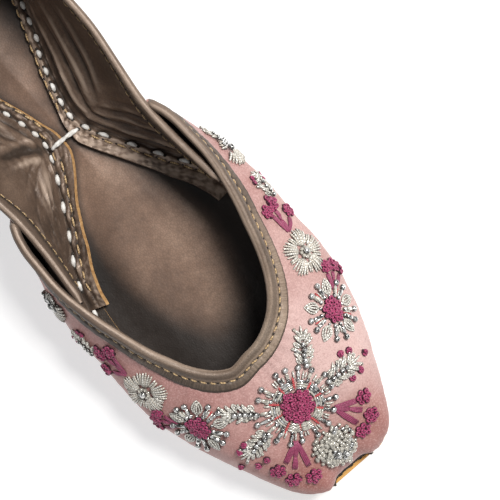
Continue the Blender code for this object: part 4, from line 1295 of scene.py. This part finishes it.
silver = Kit("embroidery_silver_thread", [SILVER_THREAD, CREAM_THREAD], "silver_bead")
beads = Kit("embroidery_beads", [BEAD, CLEAR], "silver_bead")
pink = Kit("embroidery_magenta", [MAGENTA, STEM, GAP_SHADE], "magenta_thread")
coral = Kit("embroidery_coral", [CORAL], "magenta_thread")


def j(amount):
    return rng.uniform(-amount, amount)


def strand(kit, spot, pts, r, arch=0.3, mat=0, n=7, flat=0.85, lift=None, sides=6):
    """A thread over the satin through local points, arched between them."""
    pts = np.array(pts, float)
    s = np.linspace(0, len(pts) - 1, n)
    out, nn = [], []
    for v in s:
        a = np.interp(v, np.arange(len(pts)), pts[:, 0])
        b = np.interp(v, np.arange(len(pts)), pts[:, 1])
        u = v / (len(pts) - 1)
        p, m = spot.at(a, b, r * 0.55 + arch * math.sin(u * math.pi) + (lift or 0.0))
        out.append(p)
        nn.append(m)
    tube(kit, out, np.array(nn), r, flat, sides, mat)


def knot(spot, a, b, r=1.1, mat=0, raise_by=0.0, base=True):
    """A French knot: thread wound into a small button over a flat dark disc, painted shade in the gaps between its
    loops.
    """
    p, n = spot.at(a, b, raise_by)
    e = unit(np.cross(n, (0.21, 0.37, 0.9)))
    f = np.cross(n, e)
    bead(pink, p + n * r * 0.10, n, r * 0.92, 0.42, 2)
    th = rng.uniform(0, 6.28) + np.linspace(0, 2 * math.pi * (1.22 + j(0.12)), 17) * rng.choice((-1, 1))
    u = np.linspace(0, 1, 17)
    rad = r * (0.68 - 0.46 * u ** 1.5)
    h = r * (0.26 + 0.55 * u ** 0.9)
    lean = j(0.3)
    pts = p + e * (np.cos(th) * rad)[:, None] + f * (np.sin(th) * rad)[:, None] + n * (h + lean * np.cos(th) * rad)[:, None]
    tube(pink, pts, n, r * 0.385 * (1 - 0.15 * u), 1.0, 8, mat)


def field_of_knots(spot, radius, pitch, r, squash=1.0, dome=0.7):
    """A round patch filled with knots."""
    count = int(math.pi * radius ** 2 / (pitch ** 2 * 0.90))
    for k in range(count):
        rr = (radius - pitch * 0.35) * math.sqrt((k + 0.5) / count)
        th = k * 2.399963
        knot(spot, rr * math.cos(th) * squash + j(0.16), rr * math.sin(th) + j(0.16), r * (1 + j(0.13)), 0,
             dome * (1 - (rr / radius) ** 2) + abs(j(0.30)))


def round_bead(spot, a, b, r, mat=0, lift=0.0, squash=0.92):
    p, n = spot.at(a, b, r * squash * 0.92 + lift)
    bead(beads, p, n + np.array([j(0.2), j(0.2), 0]), r, squash, mat)


def bugle(spot, a0, b0, a1, b1, r=0.5, mat=0, lift=0.0):
    """A short glass tube lying on the satin."""
    p, n = spot.at(a0, b0, r * 0.95 + lift)
    q, m = spot.at(a1, b1, r * 0.95 + lift)
    s = np.linspace(0, 1, 5)[:, None]
    tube(beads, p * (1 - s) + q * s, unit(n + m), np.array([0.86, 1, 0.96, 1, 0.86]) * r, 1.0, 8, mat, 0.95)


def bent_bugle(spot, pts, r, mat, lift):
    """A curved strand of glass over the satin."""
    pts = np.array(pts, float)
    out, nn = [], []
    for v in np.linspace(0, len(pts) - 1, 7):
        a, b = (np.interp(v, np.arange(len(pts)), pts[:, i]) for i in (0, 1))
        p, m = spot.at(a, b, r * 0.6 + lift * math.sin(v / (len(pts) - 1) * math.pi) + 0.15)
        out.append(p)
        nn.append(m)
    tube(beads, out, np.array(nn), r, 0.95, 8, mat, 0.8)


def spoke(spot, th, r0, r1, big=1.25, small=0.78, length=None):
    """Small bead, bugle and round bead in line from the centre."""
    d = (math.sin(th), math.cos(th))
    round_bead(spot, d[0] * r0, d[1] * r0, small)
    s0, s1 = r0 + small + 0.12, r1 - big - 0.10
    bugle(spot, d[0] * s0, d[1] * s0, d[0] * s1, d[1] * s1, 0.76 + j(0.04), rng.choice((0, 0, 0, 1)), 0.12)
    round_bead(spot, d[0] * r1, d[1] * r1, big)


def oval_loop(spot, c, d, length, half, r=0.34, lift=0.1):
    """A little closed loop of wire with a strand down its middle."""
    c, d = np.asarray(c, float), unit(np.asarray(d, float))
    x = np.array([d[1], -d[0]])
    for sgn in (-1, 1):
        pts = [c + d * length * (u - 0.5) + x * sgn * half * math.sin(math.pi * u) ** 0.8 for u in np.linspace(0, 1, 6)]
        strand(silver, spot, pts, r, 0.10, 0, 8, 0.95, lift)
    strand(silver, spot, [c - d * length * 0.32, c + d * length * 0.32], r * 0.9, 0.3, 0, 5, 0.9, lift + 0.1)


def leaf(spot, base, tip, width, pairs=7, spine=5, r=0.44, spine_r=1.15, kit=None):
    """A feathery leaf of wire loops, bugles and strands along a spine of beads."""
    base, tip = np.array(base, float), np.array(tip, float)
    axis = tip - base
    length = np.linalg.norm(axis)
    axis /= length
    cross = np.array([axis[1], -axis[0]])
    for k in range(pairs):
        u = 0.03 + 0.74 * k / (pairs - 1)
        w = width * math.sin(math.pi * min(1.0, (0.20 + 0.80 * u)) ** 0.9) ** 0.8
        reach = length * (0.25 - 0.05 * u)
        for sgn in (-1, 1):
            a0 = base + axis * (u * length + j(0.3)) + cross * sgn * (0.45 + j(0.1))
            a1 = a0 + axis * (reach * (1 + j(0.14))) + cross * sgn * (w * (0.78 + j(0.16)))
            d = a1 - a0
            kind = (k * 2 + (sgn > 0)) % 3
            if kind == 0:
                oval_loop(spot, a0 + d * 0.62, d + cross * sgn * 0.6, 3.1 + j(0.3), 0.75, 0.33, 0.12)
            elif kind == 1:
                b0, b1 = a0 + d * 0.25, a0 + d * 0.25 + unit(d) * (2.6 + j(0.2))
                bugle(spot, *b0, *b1, 0.52, rng.choice((0, 1)), 0.12)
                round_bead(spot, *(b1 + unit(d) * 0.55), 0.62, 1, 0.05)
            else:
                strand(silver, spot, [a0, (a0 + a1) / 2 + cross * sgn * 0.25, a1], r * (1 + j(0.12)), 0.5 + j(0.2), 0, 7, 0.9, 0.2)
            strand(silver, spot, [a0 + axis * 0.6, a0 + axis * 0.7 + d * 0.8], r * 0.85, 0.6, 0, 6, 0.9, 0.35)
    for sgn in (-1, 0, 1):
        a0 = tip - axis * length * 0.30 + cross * sgn * 0.5
        strand(silver, spot, [a0, tip + axis * (1.0 - abs(sgn) * 1.8) + cross * sgn * (1.1 + j(0.2))], r * 1.1, 0.45, 0, 6, 0.9, 0.15)
    for k in range(spine):
        u = 0.06 + 0.56 * k / max(spine - 1, 1)
        c = base + axis * u * length + cross * j(0.4)
        round_bead(spot, c[0], c[1], spine_r * (1 - 0.2 * u + j(0.08)), 0, 0.75)
        round_bead(spot, c[0] + cross[0] * 1.3 + j(0.2), c[1] + cross[1] * 1.3, spine_r * 0.6, 1, 0.7)


def fan(spot, c, aim, radius, spread, count, r=0.50):
    """Ribbed half flower: short thick threads side by side in an arc."""
    c = np.asarray(c, float)
    for k in range(count):
        th = aim + spread * ((k / (count - 1.0)) - 0.5)
        d = np.array([math.sin(th), math.cos(th)])
        strand(silver, spot, [c + d * radius * 0.28, c + d * radius * 0.66, c + d * radius * (1 + j(0.05))], r, 0.75, k % 2, 8,
               1.0, 0.15)
    round_bead(spot, c[0], c[1], 1.25, 0, 0.6)


def loop_petal(spot, th, r0, r1, width, wires=2):
    """An almond loop of wire with a strand in its middle."""
    d = np.array([math.sin(th), math.cos(th)])
    c = np.array([d[1], -d[0]])
    for k in range(wires):
        w = width * (1 - 0.46 * k)
        e = r1 - 0.9 * k
        for sgn in (-1, 1):
            pts = [d * (r0 + (e - r0) * u) + c * sgn * w * math.sin(math.pi * u ** 0.8) for u in np.linspace(0, 1, 6)]
            strand(silver, spot, pts, 0.36, 0.15, 0, 9, 0.95, 0.12 + 0.12 * k)
    strand(silver, spot, [d * (r0 + 0.5), d * (r1 - 1.0)], 0.36, 0.35, 0, 6, 0.9, 0.3)


def sprig(spot, origin, ends, clusters, r=1.12, stem_r=1.2, spread=1.0):
    """Satin-stitched stems from one point, each ending in a bunch of knots."""
    origin = np.array(origin, float)
    for k, (e, c) in enumerate(zip(ends, clusters)):
        e, c = np.array(e, float), np.array(c, float)
        d = unit(e - origin)
        s = np.array([d[1], -d[0]])
        start = origin + s * ((len(ends) - 1) / 2.0 - k) * -0.35
        cuts = [(0.0, 1.0)] if k != 1 else [(0.0, 0.53), (0.53, 1.0)]
        for u0, u1 in cuts:
            a, b = start + (e - start) * u0, start + (e - start) * u1
            # a flat dark strand under the stem: painted shade between its threads
            strand(pink, spot, [a + (b - a) * 0.08, (a + b) / 2, b - (b - a) * 0.14], stem_r * 0.58, 0.02, 2, 8, 0.35, 0.0, 7)
            for w in (-1.5, -0.5, 0.5, 1.5):
                off = s * w * stem_r * 0.44
                strand(pink, spot, [a + off * 0.40, (a + b) / 2 + off, b + off * (0.75 if u1 < 1 else 1.0)],
                       stem_r * (0.275 + j(0.02)), 0.40 - 0.08 * abs(w), 1, 8, 0.9, 0.10, 8)
        out = unit(c - origin)
        across = np.array([out[1], -out[0]])
        spots = [(0.0, 0.0)] + [(1.9 * spread * math.cos(h), 2.05 * spread * math.sin(h)) for h in np.arange(6) * 1.0472 + rng.random()]
        for o, w in spots:
            q = c + out * (o + j(0.15)) + across * (w + j(0.15))
            knot(spot, q[0], q[1], r * (1.12 + j(0.10)), 0, 0.05 + (0.40 if (o, w) == (0.0, 0.0) else 0.0) + abs(j(0.2)))


def thread_flower(spot, radius, petals=5, turn=0.0, threads=11, beads_n=7, squash=1.0):
    """A flower whose petals are laid threads side by side."""
    for k in range(petals):
        th = turn + k * 2 * math.pi / petals
        d = np.array([math.sin(th), math.cos(th)])
        c = np.array([d[1], -d[0]])
        half = radius * math.sin(math.pi / petals) * 0.76
        for m in range(threads):
            u = (m / (threads - 1.0)) * 2 - 1
            r1 = radius * (0.80 + 0.20 * math.sqrt(max(0.0, 1 - u * u))) * (1 + j(0.03))
            start = d * radius * (0.24 + 0.10 * abs(u)) + c * u * half * 0.42
            end = d * (r1 - abs(u) * radius * 0.10) + c * u * half
            start[0] *= squash
            end[0] *= squash
            strand(silver, spot, [start, (start + end) / 2, end], 0.44 * (1 + j(0.12)), 0.85 * (1 - 0.4 * abs(u)) + j(0.14), m % 2,
                   8, 0.95, 0.05)
    for k in range(beads_n):
        th = k * 2 * math.pi / beads_n + 0.4
        round_bead(spot, 1.75 * math.sin(th) * squash, 1.75 * math.cos(th), 0.78, 1, 0.35 + abs(j(0.2)))
    round_bead(spot, 0.1, 0.1, 1.25, 0, 0.75)


# -- the big flower in the middle
F0 = Spot(0.0, 34.6)
field_of_knots(F0, 6.6, 1.86, 1.22)
for k in range(10):
    th = math.radians(14 + 36 * k + j(3))
    d = np.array([math.sin(th), math.cos(th)])
    c = np.array([d[1], -d[0]])
    for m in range(4):
        rad = 6.9 + 0.86 * m
        half = 1.78 + 0.14 * m + j(0.15)
        bent_bugle(F0, [d * (rad - 0.2) - c * half, d * (rad + 0.15), d * (rad - 0.2) + c * half], 0.45, rng.choice((0, 1, 1)), 0.35)
    th2 = th + math.radians(18)
    d2 = np.array([math.sin(th2), math.cos(th2)])
    r_end = (11.2, 9.9, 12.0, 10.2)[k % 4]
    strand(coral, F0, [d2 * 6.3, d2 * r_end], 0.50, 0.16, 0, 6, 0.6)
    if k % 2:
        d3 = np.array([math.sin(th2 + 0.06), math.cos(th2 + 0.06)])
        strand(coral, F0, [d3 * 6.4, d3 * (r_end - 1.2)], 0.36, 0.12, 0, 6, 0.6)
SPOKES = ((7, 14.6), (22, 14.5), (41, 14.5), (62, 14.2), (82, 15.1), (102, 14.0), (120, 14.2), (140, 13.5), (163, 13.6),
          (187, 13.8), (213, 13.3), (231, 14.4), (253, 14.6), (271, 15.6), (288, 15.8), (302, 15.0), (324, 14.9), (339, 15.3))
for deg, r_out in SPOKES:
    spoke(F0, math.radians(deg), 10.2 + j(0.2), r_out, 1.20)
for k, (deg, r_out) in enumerate(SPOKES):
    nxt = SPOKES[(k + 1) % len(SPOKES)][0] + (360 if k == len(SPOKES) - 1 else 0)
    th = math.radians(deg + (nxt - deg) * 0.5 + j(2))
    d = np.array([math.sin(th), math.cos(th)])
    strand(silver, F0, [d * (10.3 + j(0.3)), d * (12.9 + j(0.6))], 0.40, 0.35, 0, 6, 0.9, 0.1)
    if nxt - deg > 19:
        strand(silver, F0, [d * 10.6 + (d[1] * 0.9, -d[0] * 0.9), d * (12.6 + j(0.5)) + (d[1] * 1.2, -d[0] * 1.2)], 0.36, 0.3, 0, 6, 0.9, 0.1)

for side in (1, -1):
    s = Spot(0.0, 34.6, side)
    # leaves either side of the throat, and out to the sides
    t0, t1 = (math.radians(52), math.radians(43.5)) if side > 0 else (math.radians(57), math.radians(53))
    leaf(s, (14.6 * math.sin(t0), 14.6 * math.cos(t0)), (28.2 * math.sin(t1), 28.2 * math.cos(t1)), 4.2, 6, 5)
    base = s.local(drop(13.6 * side, 34.4)[0])
    tip = s.local(drop(27.4 * side, 33.0)[0])
    leaf(s, base, tip, 4.9, 7, 5)
    for x, t in ((23.8, 38.4), (26.9, 37.3), (30.4, 32.4), (25.3, 28.9), (21.5, 28.8)):
        c = Spot(x, t - (0.0 if side > 0 else 1.9), side)
        knot(c, 0, 0, 1.5)
        knot(c, 0.1, 0.1, 1.0, 0, 0.85)
    # three-stemmed sprig on the toe
    o = (9.3, 25.0)
    loc = lambda x, t: s.local(drop(x * side, t)[0])
    if side > 0:
        bunches = [loc(19.9, 20.8), loc(17.5, 13.6), loc(11.5, 11.3)]
    else:
        bunches = [loc(21.3, 20.8), loc(19.4, 14.4), loc(13.1, 10.3)]
    sprig(s, loc(*o), [loc(17.4, 21.2), loc(16.4, 17.2), loc(11.8, 14.6)], bunches)
    # second flower
    f2 = Spot(32.0, 52.0, side)
    field_of_knots(f2, 4.9, 1.80, 1.18, dome=0.6)
    for k in range(5):
        th = math.radians(23 + 72 * k + j(4))
        round_bead(f2, 5.4 * math.sin(th), 5.4 * math.cos(th), 0.60)
        loop_petal(f2, th, 5.8, 11.9, 1.95, 2)
        for m in (-1, 1):
            t2 = th + math.radians(36 + m * 11.5 + j(2))
            spoke(f2, t2, 5.7, 10.4 + j(0.3), 1.18, 0.85)
            t4 = th + math.radians(36 + m * 4.5)
            strand(silver, f2, [(5.4 * math.sin(t4), 5.4 * math.cos(t4)), (8.6 * math.sin(t4), 8.6 * math.cos(t4))], 0.42, 0.3, 0, 6,
                   0.9, 0.15)
        if k in (0, 1, 3, 4):
            t3 = th + math.radians(36)
            d = np.array([math.sin(t3), math.cos(t3)])
            strand(coral, f2, [d * 5.2, d * (9.0 + j(0.5))], 0.48, 0.12, 0, 6, 0.6)
    # thread flower, and the sprigs along the side
    f3 = Spot(38.3, 74.5, side)
    thread_flower(f3, 9.2, 5, 0.35, 8, 8)
    loc = lambda x, t: e.local(drop(x * side, t)[0])
    e = Spot(39.0, 86.0, side)
    sprig(e, loc(39.0, 84.0), [loc(38.3, 91.8), loc(40.4, 92.8), loc(42.6, 87.6)], [loc(37.7, 94.2), loc(41.0, 95.4), loc(43.7, 90.0)], 1.12, 1.0, 0.92)
    e = Spot(39.5, 60.0, side)
    sprig(e, loc(37.4, 57.2), [loc(39.4, 63.2), loc(41.3, 62.4), loc(42.4, 59.8)], [loc(40.6, 65.6), loc(42.6, 64.4), loc(43.6, 61.6)],
          1.0, 0.95, 0.86)
    # silver leaf, knots and ribbed fans on the wing
    g = Spot(43.0, 102.0, side)
    leaf(g, (1.0, -5.0), (-0.6, 6.0), 3.0, 5, 4, 0.42, 0.85)
    for a, b in ((-2.9, 5.0), (-3.4, 3.2), (3.0, 4.6), (3.1, 2.4), (-3.0, -3.6)):
        knot(g, a, b, 1.15)
    f4 = Spot(42.3, 117.2, side)
    fan(f4, (0.6, 3.0), math.radians(180), 7.4, math.radians(128), 11)
    fan(f4, (0.6, 3.4), math.radians(-38), 4.6, math.radians(70), 5, 0.42)
    for a, b in ((-1.6, 5.6), (0.2, 6.6), (1.8, 5.8), (-0.4, 8.2)):
        round_bead(f4, a, b, 1.0, 0, 0.3)
    g = Spot(41.2, 127.0 if side > 0 else 121.2, side)
    leaf(g, (1.2, -3.6), (-0.5, 4.6 if side > 0 else 3.0), 2.4, 4, 3, 0.40, 0.85)

# the cluster of clear beads on the toe
D = Spot(0.0, 13.6)
n_beads = 95
for k in range(n_beads):
    rr = 7.9 * math.sqrt((k + 0.5) / n_beads)
    th = k * 2.399963
    edge_r = 1 + 0.10 * math.sin(3 * th + 0.5) + 0.07 * math.sin(7 * th)
    rr *= edge_r
    hgt = 1.15 * math.sqrt(max(0.0, 1 - (rr / 8.4) ** 2)) + rng.uniform(-0.2, 0.45)
    round_bead(D, rr * math.cos(th) + j(0.2), rr * math.sin(th) + j(0.2), 0.98 + j(0.12), 0 if k % 8 == 4 else 1, max(hgt, 0.0), 0.85)
for k in range(17):
    th = k * 2 * math.pi / 17 + j(0.1)
    rr = 8.3 + 0.5 * math.sin(3 * th)
    round_bead(D, rr * math.cos(th), rr * math.sin(th), 0.80 + j(0.1), 1, 0.0)
round_bead(D, -0.8, -1.6, 1.4, 0, 1.9)
round_bead(D, 1.2, -2.9, 1.1, 0, 1.7)
round_bead(D, 5.2, -3.0, 1.2, 0, 0.8)
round_bead(D, 3.4, 5.6, 1.15, 0, 0.7)

paste = Kit("toe_paste", [HOLE_SHADE_AND_PASTE], "sole_leather")
u = np.linspace(-12.1, 8.1, 110)
x, t = field("bx", np.abs(u)) * np.sign(u), field("bt", np.abs(u)) + field("recess", np.abs(u)) + notch(np.abs(u), u < 0)
rag = 0.55 * np.sin(u * 1.3 + 0.6) + 0.40 * np.sin(u * 3.1 + 1.0) + 0.26 * np.sin(u * 8.3 + 2.0)
pts = np.stack([x * 0.99, t - 0.62 + rag, sole_top(t) + 0.85 + 0.5 * np.abs(rag)], -1)
tube(paste, pts, np.array([0, -0.3, 1.0]), (1.26 + 0.5 * rag) * (1.0 - 0.8 * smooth(4.6, 8.1, u) - 0.8 * smooth(7.5, 12.1, -u)), 0.9, 8)
paste.build(0)

silver.build(0)
beads.build(0)
pink.build(0)
coral.build(0)

# ------------------------------------------------------------- camera, light, floor
cam_data = bpy.data.cameras.new("camera")
camera = bpy.data.objects.new("camera", cam_data)
bpy.context.scene.collection.objects.link(camera)
cam_data.sensor_width = 36.0
cam_data.lens = 106.39
cam_data.clip_start = 0.01
right, upward, back = (Vector((0.75057, -0.66054, -0.01827)), Vector((0.66006, 0.75075, -0.0262)),
                       Vector((0.03102, 0.0076, 0.99949)))
camera.matrix_world = Matrix(((right[0], upward[0], back[0], 0.0408), (right[1], upward[1], back[1], -0.0339),
                              (right[2], upward[2], back[2], 0.5649), (0, 0, 0, 1)))
bpy.context.scene.camera = camera

floor_mesh = bpy.data.meshes.new("floor")
bm = bmesh.new()
bmesh.ops.create_grid(bm, x_segments=8, y_segments=8, size=3.0)
bm.to_mesh(floor_mesh)
bm.free()
floor = bpy.data.objects.new("floor", floor_mesh)
bpy.context.scene.collection.objects.link(floor)
# the floor glows a little: painted light that lifts the shadows cast on it
fm = Mat("floor", Roughness=0.9, Specular_IOR_Level=0.1, Emission_Strength=0.58)
fm.b.inputs["Emission Color"].default_value = (0.98, 0.99, 1.0, 1.0)
fc = fm.ramp(fm.noise(6.0, 2.0), [(0.3, (0.56, 0.56, 0.56)), (0.7, (0.59, 0.59, 0.59))])
floor_mesh.materials.append(fm.done(fc))


def softbox(name, place, aim, size, power, colour=(1, 1, 1)):
    data = bpy.data.lights.new(name, "AREA")
    data.shape = "RECTANGLE"
    data.size, data.size_y = size
    data.energy = power
    data.color = colour
    obj = bpy.data.objects.new(name, data)
    bpy.context.scene.collection.objects.link(obj)
    obj.location = place
    obj.rotation_euler = (Vector(aim) - Vector(place)).to_track_quat("-Z", "Y").to_euler()
    return obj


softbox("key", (0.58, 0.06, 1.06), (0.0, 0.0, 0.0), (0.36, 0.36), 17.0, (1.0, 0.985, 0.96))
softbox("fill", (-0.8, -0.5, 1.2), (0.0, 0.0, 0.0), (0.9, 0.9), 2.3, (0.97, 0.985, 1.0))
world = bpy.data.worlds.new("studio")
bpy.context.scene.world = world
world.use_nodes = True
world.node_tree.nodes["Background"].inputs["Color"].default_value = (0.9, 0.93, 0.97, 1.0)
world.node_tree.nodes["Background"].inputs["Strength"].default_value = 0.16
bpy.context.scene.view_settings.view_transform = "Standard"
bpy.context.scene.view_settings.exposure = 0.0

bpy.context.view_layer.update()
